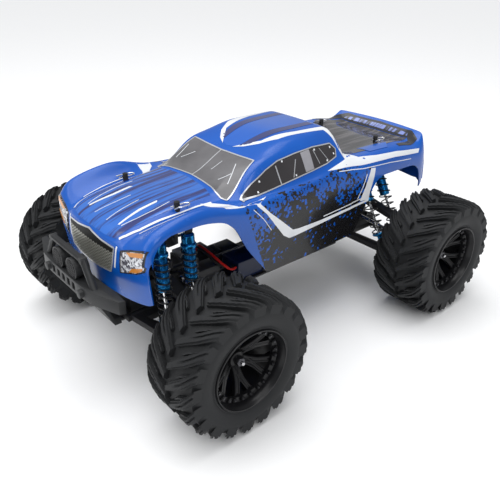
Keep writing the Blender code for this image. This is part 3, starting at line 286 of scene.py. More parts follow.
class Solid:
    """Gathers the closed shapes of one piece."""

    def __init__(self) -> None:
        """Starts with nothing in it."""
        self.bm = bmesh.new()

    def loft(self, rings: list[list[Point]], closed: bool = False) -> "Solid":
        """Joins rings of equal count into one closed shape.

        Args:
            rings: the rings in order, in millimetres.
            closed: whether the last ring joins the first, instead of both being capped.

        Returns:
            itself.
        """
        rows = [[self.bm.verts.new(Vector(p) * MM) for p in ring] for ring in rings]
        count = len(rows[0])
        spans = list(zip(rows, rows[1:])) + ([(rows[-1], rows[0])] if closed else [])
        for low, high in spans:
            for i in range(count):
                k = (i + 1) % count
                self.bm.faces.new((low[i], low[k], high[k], high[i]))
        if not closed:
            self.bm.faces.new(rows[0][::-1])
            self.bm.faces.new(rows[-1])
        return self

    def box(self, low: Point, high: Point) -> "Solid":
        """Adds a block between two corners.

        Args:
            low: the lowest corner.
            high: the highest corner.

        Returns:
            itself.
        """
        (a, b, c), (d, e, f) = low, high
        return self.loft([[(a, b, z), (d, b, z), (d, e, z), (a, e, z)] for z in (c, f)])

    def prism(self, outline: list[Flat], low: float, high: float, axis: Axis) -> "Solid":
        """Draws an outline out along an axis.

        Args:
            outline: the corners, in the two other axes in their order.
            low: where it starts along the axis.
            high: where it ends along the axis.
            axis: the axis.

        Returns:
            itself.
        """

        def place(p: Flat, t: float) -> Point:
            """Puts a corner of the outline at a distance along the axis."""
            spot = list(p)
            spot.insert(axis.value, t)
            return tuple(spot)

        return self.loft([[place(p, t) for p in outline] for t in (low, high)])

    def lathe(self, profile: list[Flat], origin: Point, axis: Point, sides: int = 48) -> "Solid":
        """Turns a closed loop of (along, radius) about an axis.

        Args:
            profile: the loop's points; one that starts and ends at radius 0 makes a solid.
            origin: the point that along is measured from.
            axis: the direction.
            sides: how many steps go round.

        Returns:
            itself.
        """
        along = Vector(axis).normalized()
        across = along.orthogonal().normalized()
        third = along.cross(across)
        start = Vector(origin)
        turns = [2 * math.pi * i / sides for i in range(sides)]
        spokes = [across * math.cos(t) + third * math.sin(t) for t in turns]
        core = [p for p in profile if p[1] > 0]
        rows = [[self.bm.verts.new((start + along * d + s * r) * MM) for s in spokes] for d, r in core]
        solid = len(core) < len(profile)
        spans = list(zip(rows, rows[1:])) + ([] if solid else [(rows[-1], rows[0])])
        for low, high in spans:
            for i in range(sides):
                k = (i + 1) % sides
                self.bm.faces.new((low[i], low[k], high[k], high[i]))
        if solid:
            self.bm.faces.new(rows[0][::-1])
            self.bm.faces.new(rows[-1])
        return self

    def rod(self, start: Point, end: Point, radius: float, far: float | None = None,
        sides: int = 24) -> "Solid":
        """Adds a straight round bar.

        Args:
            start: the middle of one end.
            end: the middle of the other.
            radius: its radius at the start.
            far: its radius at the end, if that differs.
            sides: how many steps go round.

        Returns:
            itself.
        """
        way = Vector(end) - Vector(start)
        last = radius if far is None else far
        return self.lathe([(0, 0), (0, radius), (way.length, last), (way.length, 0)], start, way, sides)

    def tube(self, path: list[Point], radius: float, sides: int = 14) -> "Solid":
        """Adds a round bar along a path.

        Args:
            path: the points of its middle.
            radius: its radius.
            sides: how many steps go round.

        Returns:
            itself.
        """
        spots = [Vector(p) for p in path]
        ways = [(b - a).normalized() for a, b in zip(spots, spots[1:])]
        tangents = [ways[0]] + [(a + b).normalized() for a, b in zip(ways, ways[1:])] + [ways[-1]]
        across = tangents[0].orthogonal().normalized()
        rings = []
        for spot, tangent in zip(spots, tangents):
            across = (across - tangent * across.dot(tangent)).normalized()
            third = tangent.cross(across)
            turns = (2 * math.pi * i / sides for i in range(sides))
            rings.append([tuple(spot + (across * math.cos(t) + third * math.sin(t)) * radius) for t in turns])
        return self.loft(rings)

    def copy_of(self, node: str) -> "Solid":
        """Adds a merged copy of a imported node's mesh.

        Args:
            node: the node's name.

        Returns:
            itself.
        """
        self.bm.from_mesh(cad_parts[node].data)
        bmesh.ops.remove_doubles(self.bm, verts=self.bm.verts, dist=MERGE_DISTANCE * 10)
        bmesh.ops.dissolve_limit(
            self.bm, angle_limit=math.radians(1), verts=self.bm.verts, edges=self.bm.edges
        )
        return self

    def mesh(self, name: str) -> bpy.types.Mesh:
        """Closes the gathering as one mesh, faces outward.

        Args:
            name: the mesh's name.

        Returns:
            the mesh.
        """
        bmesh.ops.recalc_face_normals(self.bm, faces=self.bm.faces)
        made = bpy.data.meshes.new(name)
        self.bm.to_mesh(made)
        self.bm.free()
        return made


def bake(thing: bpy.types.Object) -> None:
    """Turns an object's modifiers into plain mesh.

    Args:
        thing: the object.
    """
    bpy.context.view_layer.update()
    ready = bpy.data.meshes.new_from_object(thing.evaluated_get(bpy.context.evaluated_depsgraph_get()))
    thing.modifiers.clear()
    thing.data = ready


def shade(mesh: bpy.types.Mesh, angle: float = SMOOTH_ANGLE) -> None:
    """Shades a mesh smooth, with an edge kept sharp past an angle."""
    mesh.shade_smooth()
    mesh.set_sharp_from_angle(angle=angle)


def place_object(mesh: bpy.types.Mesh, finish: Finish) -> bpy.types.Object:
    """Puts a mesh in the scene with one finish.

    Args:
        mesh: the mesh, whose name the object takes.
        finish: its finish.

    Returns:
        the object.
    """
    mesh.materials.clear()
    mesh.materials.append(finish.material())
    thing = bpy.data.objects.new(mesh.name, mesh)
    bpy.context.scene.collection.objects.link(thing)
    return thing


def settle(thing: bpy.types.Object, body: str, stands_for: tuple[str, ...] = ()) -> bpy.types.Object:
    """Makes a finished object ride on its body, and hides the nodes it stands for.

    Args:
        thing: the object.
        body: the body's name.
        stands_for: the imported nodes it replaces.

    Returns:
        the object.
    """
    shade(thing.data)
    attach(thing, body)
    if stands_for:
        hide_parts(*stands_for)
    LOG.info("%s: %d faces on %s", thing.name, len(thing.data.polygons), body)
    return thing


def make(
    name: str,
    shape: Solid,
    finish: Finish,
    body: str,
    stands_for: tuple[str, ...] = (),
    bevel: float = 0.0,
    steps: int = 2,
) -> bpy.types.Object:
    """Makes one piece from its shapes.

    Args:
        name: the piece's name.
        shape: its gathered shapes.
        finish: its finish.
        body: the body it rides on.
        stands_for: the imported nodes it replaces.
        bevel: the width of its broken edges, in millimetres.
        steps: how many faces each broken edge has.

    Returns:
        the object.
    """
    thing = place_object(shape.mesh(name), finish)
    if bevel:
        rounding = thing.modifiers.new("rounding", "BEVEL")
        rounding.width = bevel * MM
        rounding.segments = steps
        rounding.limit_method = "ANGLE"
        rounding.angle_limit = BEVEL_ANGLE
        bake(thing)
    return settle(thing, body, stands_for)


# ---------------------------------------------------------------- repeated parts


def geometry_tree(name: str, inputs: tuple[tuple[str, str], ...]) -> bpy.types.NodeTree:
    """Starts a geometry node tree with its sockets.

    Args:
        name: the tree's name.
        inputs: the label and type of each input after the geometry.

    Returns:
        the tree.
    """
    tree = bpy.data.node_groups.new(name, "GeometryNodeTree")
    socket(tree, "Geometry", "Geometry")
    for label, kind in inputs:
        socket(tree, label, kind)
    socket(tree, "Geometry", "Geometry", "OUTPUT")
    return tree


def close_tree(tree: bpy.types.NodeTree, entry, output) -> None:
    """Ends a tree by making its instances real and setting their material.

    Args:
        tree: the tree.
        entry: its group input node.
        output: the socket that carries the instances.
    """
    nodes, links = tree.nodes, tree.links
    real, paint = nodes.new("GeometryNodeRealizeInstances"), nodes.new("GeometryNodeSetMaterial")
    leave = nodes.new("NodeGroupOutput")
    links.new(output, real.inputs[0])
    links.new(real.outputs[0], paint.inputs["Geometry"])
    links.new(entry.outputs["Material"], paint.inputs["Material"])
    links.new(paint.outputs[0], leave.inputs[0])


def repeat_tree() -> bpy.types.NodeTree:
    """Builds once the tree that repeats a piece round a line parallel to X, or along a step.

    Returns:
        the tree.
    """
    found = bpy.data.node_groups.get("repeat")
    if found:
        return found
    tree = geometry_tree(
        "repeat",
        (("Count", "Int"), ("Centre", "Vector"), ("Turn", "Vector"), ("Step", "Vector"),
            ("Material", "Material")),
    )
    nodes, links = tree.nodes, tree.links
    entry, line = nodes.new("NodeGroupInput"), nodes.new("GeometryNodeMeshLine")
    spread, index = nodes.new("GeometryNodeInstanceOnPoints"), nodes.new("GeometryNodeInputIndex")
    home, angle = nodes.new("GeometryNodeTransform"), nodes.new("ShaderNodeVectorMath")
    back = nodes.new("ShaderNodeVectorMath")
    angle.operation = "SCALE"
    back.operation = "SCALE"
    back.inputs["Scale"].default_value = -1
    links.new(entry.outputs["Count"], line.inputs["Count"])
    links.new(entry.outputs["Centre"], line.inputs["Start Location"])
    links.new(entry.outputs["Step"], line.inputs["Offset"])
    links.new(entry.outputs["Centre"], back.inputs[0])
    links.new(entry.outputs["Geometry"], home.inputs["Geometry"])
    links.new(back.outputs[0], home.inputs["Translation"])
    links.new(entry.outputs["Turn"], angle.inputs[0])
    links.new(index.outputs[0], angle.inputs["Scale"])
    links.new(line.outputs[0], spread.inputs["Points"])
    links.new(home.outputs[0], spread.inputs["Instance"])
    links.new(angle.outputs[0], spread.inputs["Rotation"])
    close_tree(tree, entry, spread.outputs[0])
    return tree


def coil_tree() -> bpy.types.NodeTree:
    """Builds once the tree that winds a wire into a coil up Z.

    Returns:
        the tree.
    """
    found = bpy.data.node_groups.get("coil")
    if found:
        return found
    inputs = (("Turns", "Float"), ("Radius", "Float"), ("Height", "Float"), ("Wire", "Float"))
    tree = geometry_tree("coil", (*inputs, ("Material", "Material")))
    nodes, links = tree.nodes, tree.links
    entry, spiral = nodes.new("NodeGroupInput"), nodes.new("GeometryNodeCurveSpiral")
    ring, sweep = nodes.new("GeometryNodeCurvePrimitiveCircle"), nodes.new("GeometryNodeCurveToMesh")
    spiral.inputs["Resolution"].default_value = 26
    ring.inputs["Resolution"].default_value = 10
    sweep.inputs["Fill Caps"].default_value = True
    links.new(entry.outputs["Turns"], spiral.inputs["Rotations"])
    links.new(entry.outputs["Radius"], spiral.inputs["Start Radius"])
    links.new(entry.outputs["Radius"], spiral.inputs["End Radius"])
    links.new(entry.outputs["Height"], spiral.inputs["Height"])
    links.new(entry.outputs["Wire"], ring.inputs["Radius"])
    links.new(spiral.outputs[0], sweep.inputs["Curve"])
    links.new(ring.outputs[0], sweep.inputs["Profile Curve"])
    close_tree(tree, entry, sweep.outputs[0])
    return tree


def grow(thing: bpy.types.Object, tree: bpy.types.NodeTree, values: dict[str, object]) -> None:
    """Runs a geometry node tree on an object and keeps what it makes as plain mesh.

    Args:
        thing: the object.
        tree: the tree.
        values: the inputs by label.
    """
    growth = thing.modifiers.new(tree.name, "NODES")
    growth.node_group = tree
    for item in tree.interface.items_tree:
        if item.in_out == "INPUT" and item.name in values:
            growth[item.identifier] = values[item.name]
    bake(thing)


def repeat(
    name: str,
    shape: Solid,
    finish: Finish,
    body: str,
    count: int,
    centre: Point = (0, 0, 0),
    turn: Point = (0, 0, 0),
    step: Point = (0, 0, 0),
    stands_for: tuple[str, ...] = (),
    bevel: float = 0.0,
) -> bpy.types.Object:
    """Makes one piece that is a shape repeated round a centre or along a row.

    Args:
        name: the piece's name.
        shape: the shape that is repeated, where its first copy stands.
        finish: its finish.
        body: the body it rides on.
        count: how many copies there are.
        centre: the point that copies turn about.
        turn: the turn from one copy to the next, in radians about X, Y and Z.
        step: the move from one copy to the next.
        stands_for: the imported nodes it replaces.
        bevel: the width of its broken edges.

    Returns:
        the object.
    """
    thing = place_object(shape.mesh(name), finish)
    if bevel:
        rounding = thing.modifiers.new("rounding", "BEVEL")
        rounding.width = bevel * MM
        rounding.segments = 2
        rounding.limit_method = "ANGLE"
        rounding.angle_limit = BEVEL_ANGLE
        bake(thing)
    values = {
        "Count": count,
        "Centre": [c * MM for c in centre],
        "Turn": list(turn),
        "Step": [s * MM for s in step],
        "Material": finish.material(),
    }
    grow(thing, repeat_tree(), values)
    return settle(thing, body, stands_for)


# ---------------------------------------------------------------- wheels


@dataclass(frozen=True)
class Lug:
    """The sizes of one curved tread lug.

    Attributes:
        start: where it begins, outward from the tyre's middle.
        reach: where it ends, outward.
        width: its top's width round the tyre, in degrees.
        rise: the radius over it.
        lead: how far its outer end runs ahead of its start, in degrees.
        phase: how far it stands behind the first lug, in degrees.
        wave: how far it bends to and fro, in degrees.
        flare: how much wider its outer end is, as a share.
        steps: how many stations shape it.
    """

    start: float
    reach: float
    width: float
    rise: float
    lead: float
    phase: float = 0.0
    wave: float = 1.0
    flare: float = 0.7
    steps: int = 14


LUGS = {
    "lugs": Lug(1.0, 35.3, 5.6, 74.9, 24.0),
    "blocks": Lug(13.0, 35.0, 1.9, 73.0, 14.0, 4.6, 1.2, 0.2),
}


@dataclass(frozen=True)
class Wheel:
    """A tyre on its rim, made about its own centre and then moved out to its axle.

    Attributes:
        end: its axle.
        side: its side.
        track: the wheel centre's distance from the middle.
        height: the axle's height.
        crown: the radius of the carcass under the lugs.
        half: half the tyre's width.
        bead: the radius where the tyre meets the rim.
        lugs: how many long lugs go round on each side.
        spokes: how many split spokes the rim has.
    """

    end: End
    side: Side
    track: float = 150.0
    height: float = 75.0
    crown: float = 68.9
    half: float = 36.0
    bead: float = 41.6
    lugs: int = 20
    spokes: int = 6

    @property
    def label(self) -> str:
        """The wheel's place in words."""
        return f"{self.end.label}_{self.side.label}"

    @property
    def body(self) -> str:
        """The body it rides on."""
        return f"wheel_{self.label}"

    @property
    def centre(self) -> Point:
        """The wheel's centre."""
        return (self.side.value * self.track, self.end.value, self.height)

    def out(self, x: float, radius: float, angle: float) -> Point:
        """Finds a point of the wheel.

        Args:
            x: its distance outward from the wheel's middle.
            radius: its distance from the axle line.
            angle: its turn round the axle, in radians.

        Returns:
            the point.
        """
        cx, cy, cz = self.centre
        return (cx + self.side.value * x, cy + radius * math.sin(angle), cz + radius * math.cos(angle))

    def carcass_profile(self) -> list[Flat]:
        """Gives the tyre's section as (outward, radius) points, outside then inside."""
        w, c, b = self.half, self.crown, self.bead
        half = [
            (w - 5.6, b + 0.2),
            (w - 3.2, b + 0.4),
            (w - 2.6, b + 2.2),
            (w - 3.1, b + 3.4),
            (w - 1.6, b + 6.0),
            (w - 0.5, b + 10.5),
            (w - 0.2, b + 14.5),
            (w - 0.9, b + 18.5),
            (w - 2.4, b + 22.3),
            (w - 5.2, b + 25.6),
            (w - 9.5, c - 1.3),
            (w - 17.0, c - 0.4),
            (w - 27.0, c),
        ]
        outer = half + [(-x, r) for x, r in half[::-1]]
        inner = [(-(w - 6.4), b + 3.5), (-(w - 4.0), b + 13.0), (-(w - 9.0), c - 5.0), (0, c - 3.4)]
        return outer + inner + [(-x, r) for x, r in inner[-2::-1]]

    def lug(self, shape: "Lug") -> Solid:
        """Shapes one curved lug, stepped down along both of its long edges.

        Args:
            shape: the lug's sizes.

        Returns:
            the shape of the outward half's lug.
        """
        rings = []
        for i in range(shape.steps + 1):
            p = i / shape.steps
            x = shape.start + (shape.reach - shape.start) * p
            wave = shape.wave * math.sin(math.pi * 2 * p)
            angle = math.radians(shape.lead * p**1.3 + wave - shape.phase)
            fall = max(0.0, (x - 24.0) / 11.0)
            top = shape.rise - 4.2 * fall**2.2 - (0.5 if i % 2 else 0.0)
            base = self.crown - 2.4 - 6.8 * fall**1.8
            half = math.radians(shape.width) / 2 * (1.0 + shape.flare * p)
            low, step = top - 2.2, half * 1.3
            dip = top - 2.0 * min(1.0, max(0.0, (p - 0.35) * 5.0))
            section = (
                (-step, base),
                (-step * 0.98, low),
                (-half * 0.9, low),
                (-half * 0.78, top),
                (-half * 0.2, top),
                (-half * 0.1, dip),
                (half * 0.24, dip),
                (half * 0.34, top),
                (half * 0.78, top),
                (half * 0.9, low),
                (step * 0.98, low),
                (step, base),
            )
            rings.append([self.out(x, r, angle + a) for a, r in section])
        return Solid().loft(rings)

    def tread_blocks(self) -> None:
        """Makes the lugs of both halves, repeated round the tyre."""
        turn = (2 * math.pi / self.lugs, 0, 0)
        there = Matrix.Translation(Vector(self.centre) * MM)
        back = there.inverted()
        for name, shape in LUGS.items():
            for half, offset in (("outer", 0.0), ("inner", math.pi / self.lugs)):
                block = self.lug(shape)
                if half == "inner":
                    mirror = Matrix.Scale(-1, 4, (1, 0, 0))
                    block.bm.transform(there @ Matrix.Rotation(-offset, 4, "X") @ mirror @ back)
                label = f"tyre_{name}_{half}_{self.label}"
                repeat(label, block, RUBBER, self.body, self.lugs, self.centre, turn)

    def spoke(self, lean: float) -> Solid:
        """Shapes one leg of a split spoke.

        Args:
            lean: how far round its outer end stands from its inner end, in degrees.

        Returns:
            the shape.
        """
        rings = []
        for p, x, radius, width, thick in (
            (0.0, 8.0, 6.0, 9.5, 7.0),
            (0.15, 11.5, 13.0, 8.4, 6.5),
            (0.5, 16.0, 22.5, 6.6, 5.6),
            (0.85, 20.6, 31.5, 6.4, 5.6),
            (1.0, 22.4, 38.4, 8.4, 7.0),
        ):
            angle = math.radians(lean * p)
            half, rib = width / 2, width / 4.5
            section = [
                (-half, -thick),
                (half, -thick),
                (half, -1.0),
                (half - 0.9, 0.0),
                (rib, 0.0),
                (rib * 0.55, -1.1),
                (-rib * 0.55, -1.1),
                (-rib, 0.0),
                (0.9 - half, 0.0),
                (-half, -1.0),
            ]
            cos, sin = math.cos(angle), math.sin(angle)
            cx, cy, cz = self.centre
            rings.append(
                [
                    (cx + self.side.value * (x + d), cy + radius * sin + s * cos, cz + radius * cos - s * sin)
                    for s, d in section
                ]
            )
        return Solid().loft(rings)

    def rim(self) -> None:
        """Makes the barrel, the spokes, the bolts and the hub of the rim."""
        axis = (self.side.value, 0, 0)
        barrel = [
            (-32.4, 38.4),
            (-32.4, 42.6),
            (-30.6, 43.0),
            (-29.4, 41.2),
            (29.8, 41.2),
            (31.4, 42.9),
            (33.8, 43.1),
            (34.9, 42.4),
            (34.9, 41.4),
            (32.6, 40.5),
            (30.6, 39.0),
            (25.6, 38.4),
            (24.6, 37.2),
            (24.0, 34.0),
            (20.0, 34.0),
            (19.0, 38.2),
            (2.0, 38.2),
            (-14.0, 38.2),
        ]
        shell = Solid().lathe(barrel, self.centre, axis, 72)
        stands_for = (f"rim_{self.label}",)
        make(f"rim_barrel_{self.label}", shell, RIM_BLACK, self.body, stands_for)
        turn = (2 * math.pi / self.spokes, 0, 0)
        for word, lean in (("leading", 14.0), ("trailing", -14.0)):
            name = f"rim_spokes_{word}_{self.label}"
            repeat(name, self.spoke(lean), RIM_BLACK, self.body, self.spokes, self.centre, turn, bevel=0.3)
        hub = [(-2.0, 0), (-2.0, 9.0), (9.0, 9.0), (11.4, 8.0), (12.0, 6.4), (12.0, 0)]
        make(f"rim_hub_{self.label}", Solid().lathe(hub, self.centre, axis, 36), RIM_BLACK, self.body)
        nut = [(11.8, 0), (11.8, 5.2), (17.2, 5.2), (18.0, 4.4), (18.0, 0)]
        thread = [(17.8, 0), (17.8, 2.0), (20.6, 2.0), (21.0, 1.6), (21.0, 0)]
        make(f"wheel_nut_{self.label}", Solid().lathe(nut, self.centre, axis, 6), BOLT_BLACK, self.body,
            bevel=0.3)
        make(f"axle_tip_{self.label}", Solid().lathe(thread, self.centre, axis, 20), STEEL, self.body)
        for word, lean in (("first", 8.0), ("second", -8.0), ("third", 24.0), ("fourth", -24.0)):
            spots = [self.out(x, 36.0, math.radians(lean)) for x in (23.0, 26.2, 27.2)]
            boss = Solid().rod(spots[0], spots[1], 2.7, 2.3, sides=14)
            repeat(f"rim_bosses_{word}_{self.label}", boss, RIM_BLACK, self.body, self.spokes, self.centre,
                turn)
            head = Solid().rod(spots[1], spots[2], 1.3, 1.0, sides=10)
            repeat(f"rim_bolts_{word}_{self.label}", head, BOLT_BLACK, self.body, self.spokes, self.centre,
                turn)

    def build(self) -> None:
        """Makes the whole wheel."""
        axis = (self.side.value, 0, 0)
        tyre = Solid().lathe(self.carcass_profile(), self.centre, axis, 108)
        make(f"tyre_carcass_{self.label}", tyre, RUBBER, self.body, (f"tyre_{self.label}",))
        self.tread_blocks()
        self.rim()


# ---------------------------------------------------------------- shocks


@dataclass(frozen=True)
class Shock:
    """One oil-filled shock with its coil spring.

    Attributes:
        end: its axle.
        side: its side.
        top: the upper eye as (x, z).
        foot: the lower eye as (x, z).
        behind: how far it stands from the axle line along Y.
        body_radius: the threaded body's radius.
        body_length: the body's lower end, from the top eye.
        shaft_radius: the shaft's radius.
        bore: the radius that the shaft slides in.
        bore_top: the blind end of that bore, from the top eye.
        pin_radius: the radius of the pins that a pair of shocks shares.
        spring_radius: the coil's middle radius.
        wire: the spring wire's radius.
        coils: how many turns the spring has.
    """

    end: End
    side: Side
    top: Flat
    foot: Flat
    behind: float
    body_radius: float = 6.7
    body_length: float = 55.6
    shaft_radius: float = 1.75
    bore: float = 2.3
    bore_top: float = 7.4
    pin_radius: float = 1.9
    spring_radius: float = 7.9
    wire: float = 0.85
    coils: float = 9.5

    @property
    def label(self) -> str:
        """The shock's place in words."""
        return f"{self.end.label}_{self.side.label}"

    @property
    def ends(self) -> tuple[Vector, Vector]:
        """The middles of the two eyes."""
        y = self.end.value + self.behind
        s = self.side.value
        return Vector((s * self.top[0], y, self.top[1])), Vector((s * self.foot[0], y, self.foot[1]))

    def build(self) -> None:
        """Makes the body, its cap and collar, the shaft, its cup and foot, and the spring."""
        top, foot = self.ends
        way = foot - top
        length = way.length
        r = self.body_radius
        bodies, shafts = f"shock_bodies_{self.label}", f"shock_shafts_{self.label}"
        which = "ahead" if self.behind < 0 else "behind"
        name = f"{self.label}_{which}"
        thread = [(13.0, self.bore), (13.0, r - 0.35)]
        for i in range(int((self.body_length - 18.0) / 1.1)):
            start = 13.4 + 1.1 * i
            thread += [(start, r - 0.35), (start + 0.35, r), (start + 0.7, r), (start + 1.05, r - 0.35)]
        thread += [(self.body_length - 3, r - 0.3), (self.body_length - 0.8, r - 0.4),
            (self.body_length, r - 1.4)]
        thread += [(self.body_length, self.bore)]
        make(f"shock_barrel_{name}", Solid().lathe(thread, top, way, 40), BLUE_ANODISED, bodies, (bodies,))
        cap = [(2.6, 0), (2.6, 4.2), (3.6, 5.8), (5.0, 6.9), (12.4, 6.9), (13.4, 6.4)]
        cap += [(13.4, self.bore), (self.bore_top, self.bore), (self.bore_top, 0)]
        collar = [(14.2, r - 0.1), (14.2, 7.8), (15.0, 8.3), (17.2, 8.3), (18.0, 7.8), (18.0, r - 0.1)]
        make(f"shock_cap_{name}", Solid().lathe(cap, top, way, 36), BLUE_ANODISED, bodies)
        make(f"shock_collar_{name}", Solid().lathe(collar, top, way, 36), BLUE_ANODISED, bodies)
        y = Vector((0, 1, 0))
        eye = Solid().rod(top - y * 4.2, top + y * 4.2, 3.9)
        make(f"shock_eye_{name}", eye, NYLON, bodies, bevel=0.4)
        bolt = Solid().rod(top - y * 5.6, top + y * 5.6, 2.3)
        make(f"shock_bolt_{name}", bolt, STEEL, bodies, bevel=0.3)
        shaft = Solid().rod(top + way * (30.0 / length), foot - way * (3.0 / length), self.shaft_radius)
        make(f"shock_shaft_{name}", shaft, CHROME, shafts, (shafts,))
        if which == "ahead":
            self.pins(top, foot, bodies, shafts)
        seat = length - 14.0
        cup = [
            (seat, 1.8),
            (seat, 8.2),
            (seat + 0.7, 8.7),
            (seat + 2.2, 8.7),
            (seat + 3.0, 7.8),
            (seat + 4.4, 4.6),
            (seat + 5.4, 3.4),
            (seat + 9.4, 3.2),
            (seat + 9.4, 1.8),
        ]
        make(f"shock_cup_{name}", Solid().lathe(cup, top, way, 36), BLUE_ANODISED, shafts)
        make(f"shock_foot_{name}", Solid().rod(foot - y * 3.4, foot + y * 3.4, 3.6), NYLON, shafts, bevel=0.4)
        self.spring(name, top, way, 18.4, seat - 0.4)

    def pins(self, top: Vector, foot: Vector, bodies: str, shafts: str) -> None:
        """Makes the two pins that this shock shares with the one behind the axle.

        Args:
            top: the upper eye.
            foot: the lower eye.
            bodies: the body that carries the upper pin.
            shafts: the body that carries the lower pin.
        """
        for where, spot, past, body in (("top", top, 4.0, bodies), ("foot", foot, 3.5, shafts)):
            ahead = Vector((spot.x, self.end.value + self.behind - past, spot.z))
            after = Vector((spot.x, self.end.value - self.behind + past, spot.z))
            pin = Solid().rod(ahead, after, self.pin_radius)
            make(f"shock_{where}_pin_{self.label}", pin, STEEL, body, bevel=0.3)

    def spring(self, name: str, top: Vector, way: Vector, start: float, end: float) -> None:
        """Winds the coil spring between its collar and its cup.

        Args:
            name: the shock's place in words.
            top: the upper eye.
            way: the line from the upper eye to the lower one.
            start: where the spring starts along that line.
            end: where it ends.
        """
        thing = place_object(Solid().box((0, 0, 0), (1, 1, 1)).mesh(f"shock_spring_{name}"), SPRING_BLACK)
        values = {
            "Turns": self.coils,
            "Radius": self.spring_radius * MM,
            "Height": (end - start - 2 * self.wire) * MM,
            "Wire": self.wire * MM,
            "Material": SPRING_BLACK.material(),
        }
        grow(thing, coil_tree(), values)
        line = way.normalized()
        low = top + line * (start + self.wire)
        turn = line.to_track_quat("Z", "Y").to_matrix().to_4x4()
        thing.data.transform(Matrix.Translation(low * MM) @ turn)
        shade(thing.data)
        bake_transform(thing)


# ---------------------------------------------------------------- nodes with finer edges


@dataclass(frozen=True)
class Refined:
    """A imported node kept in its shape, with its edges rounded and its own finish.

    Attributes:
        node: the node.
        body: the body it rides on.
        finish: its finish.
        bevel: the width of its rounded edges.
    """

    node: str
    body: str
    finish: Finish
    bevel: float = 0.6

    def build(self) -> bpy.types.Object:
        """Makes the rounded copy."""
        shape = Solid().copy_of(self.node)
        return make(f"{self.node}_finished", shape, self.finish, self.body, (self.node,), self.bevel)


def refined_nodes() -> list[Refined]:
    """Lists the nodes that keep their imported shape.

    Returns:
        the nodes with their bodies and finishes.
    """
    fixed = [
        ("chassis_plate", NYLON, 0.5),
        ("front_gear_case", NYLON, 0.9),
        ("rear_gear_case", NYLON, 0.9),
        ("front_shock_tower", NYLON, 0.5),
        ("rear_shock_tower", NYLON, 0.5),
        ("front_body_posts", NYLON, 0.4),
        ("rear_body_posts", NYLON, 0.4),
        ("motor", MOTOR_SILVER, 0.8),
        ("steering_servo", CASE_DARK, 0.6),
        ("battery", BATTERY_BLUE, 1.2),
        ("speed_controller", CASE_DARK, 0.8),
        ("receiver_box", CASE_DARK, 0.8),
        ("power_lead_red", RED_WIRE, 0.0),
        ("power_lead_black", BLACK_WIRE, 0.0),
    ]
    listed = [Refined(node, "chassis", finish, bevel) for node, finish, bevel in fixed]
    moving = [
        ("centre_drive_shaft", "centre_drive_shaft", GEAR_BLACK, 0.2),
        ("pinion_gear", "pinion_gear", STEEL, 0.15),
        ("servo_saver", "servo_saver", NYLON, 0.4),
        ("steering_link", "steering_link", NYLON, 0.4),
        ("tie_rod_left", "tie_rod_left", STEEL, 0.3),
        ("tie_rod_right", "tie_rod_right", STEEL, 0.3),
    ]
    for side in Side:
        s = side.label
        moving += [
            (f"caster_block_{s}", f"caster_block_{s}", NYLON, 0.5),
            (f"steering_knuckle_{s}", f"steering_knuckle_{s}", NYLON, 0.5),
            (f"hub_carrier_{s}", f"hub_carrier_{s}", NYLON, 0.5),
        ]
        for end in End:
            t = f"{end.label}_{s}"
            moving += [
                (f"lower_arm_{t}", f"lower_arm_{t}", NYLON, 0.6),
                (f"upper_arm_{t}", f"upper_arm_{t}", NYLON, 0.5),
                (f"drive_shaft_{t}", f"drive_shaft_{t}", STEEL, 0.3),
            ]
    return listed + [Refined(*values[:2], values[2], values[3]) for values in moving]


# ---------------------------------------------------------------- body shell

AXLE_HEIGHT = 75.0
FRONT, REAR, CAB = End.FRONT.value, End.REAR.value, 9.5

# Each row is (y at the middle, sweep at the edge, (x, height over the axle) from middle to lower edge).
STATIONS: tuple[tuple[float, float, tuple[Flat, ...]], ...] = (
    (FRONT - 57, 13, ((0, 37), (42, 37), (54, 37), (70, 38), (84, 40), (88, 42), (90, 43))),
    (FRONT - 61, 13, ((0, 66), (42, 66), (56, 69), (70, 73), (86, 81), (90, 82), (91, 75))),
    (FRONT - 59, 12, ((0, 93), (43, 91), (57, 90), (68, 92), (86, 98), (91, 95), (92, 85))),
    (FRONT - 53, 9, ((0, 100.5), (46, 99), (55, 96), (66, 98.5), (84, 105), (91, 101), (93, 90))),
    (FRONT - 35, 3, ((0, 107.5), (46, 106), (56, 103), (68, 107), (83, 116), (92, 109), (93, 43))),
    (FRONT + 16, 0, ((0, 116.5), (44, 115.5), (55, 110), (68, 113), (83, 124.5), (92, 115), (93.5, 43))),
    (FRONT + 66, 0, ((0, 120.5), (46, 119), (60, 113), (72, 111.5), (84, 112), (91, 105), (93, 35))),
    (CAB - 50, 2, ((0, 143.5), (44, 144), (60, 143.5), (77, 113), (86, 109.5), (92, 75), (90.5, 25))),
    (CAB + 5, 0, ((0, 158), (44, 157), (62, 147), (78, 115), (86, 111), (92, 73), (90.5, 26))),
    (CAB + 64, 0, ((0, 157), (44, 156), (60, 146), (76, 124), (84, 115), (92, 73), (90.5, 27.5))),
    (CAB + 74, 0, ((0, 125), (44, 125), (60, 126), (72, 126), (82, 117), (91, 85), (91, 28))),
    (REAR - 62, 0, ((0, 115), (46, 117), (62, 120), (74, 121), (84, 115.5), (90, 95), (91, 29))),
    (REAR, 0, ((0, 116), (46, 118), (62, 121), (74, 120), (84, 113.5), (89, 97), (91, 45))),
    (REAR + 42, 0, ((0, 112), (46, 113), (62, 115), (74, 114), (83, 108), (88, 90), (89, 55))),
    (REAR + 70, -15, ((0, 125.5), (46, 125.5), (62, 125.5), (71, 125), (78, 111), (82, 95), (84, 65))),
    (REAR + 60, -13, ((0, 65), (46, 65), (62, 65), (72, 65), (80, 66), (83, 64), (84, 63))),
)
FRONT_ARCH = ((-42, 40), (-43, 85), (-35, 103), (-17, 111), (9, 111), (37, 106), (53, 95), (71, 65),
    (103, 24))
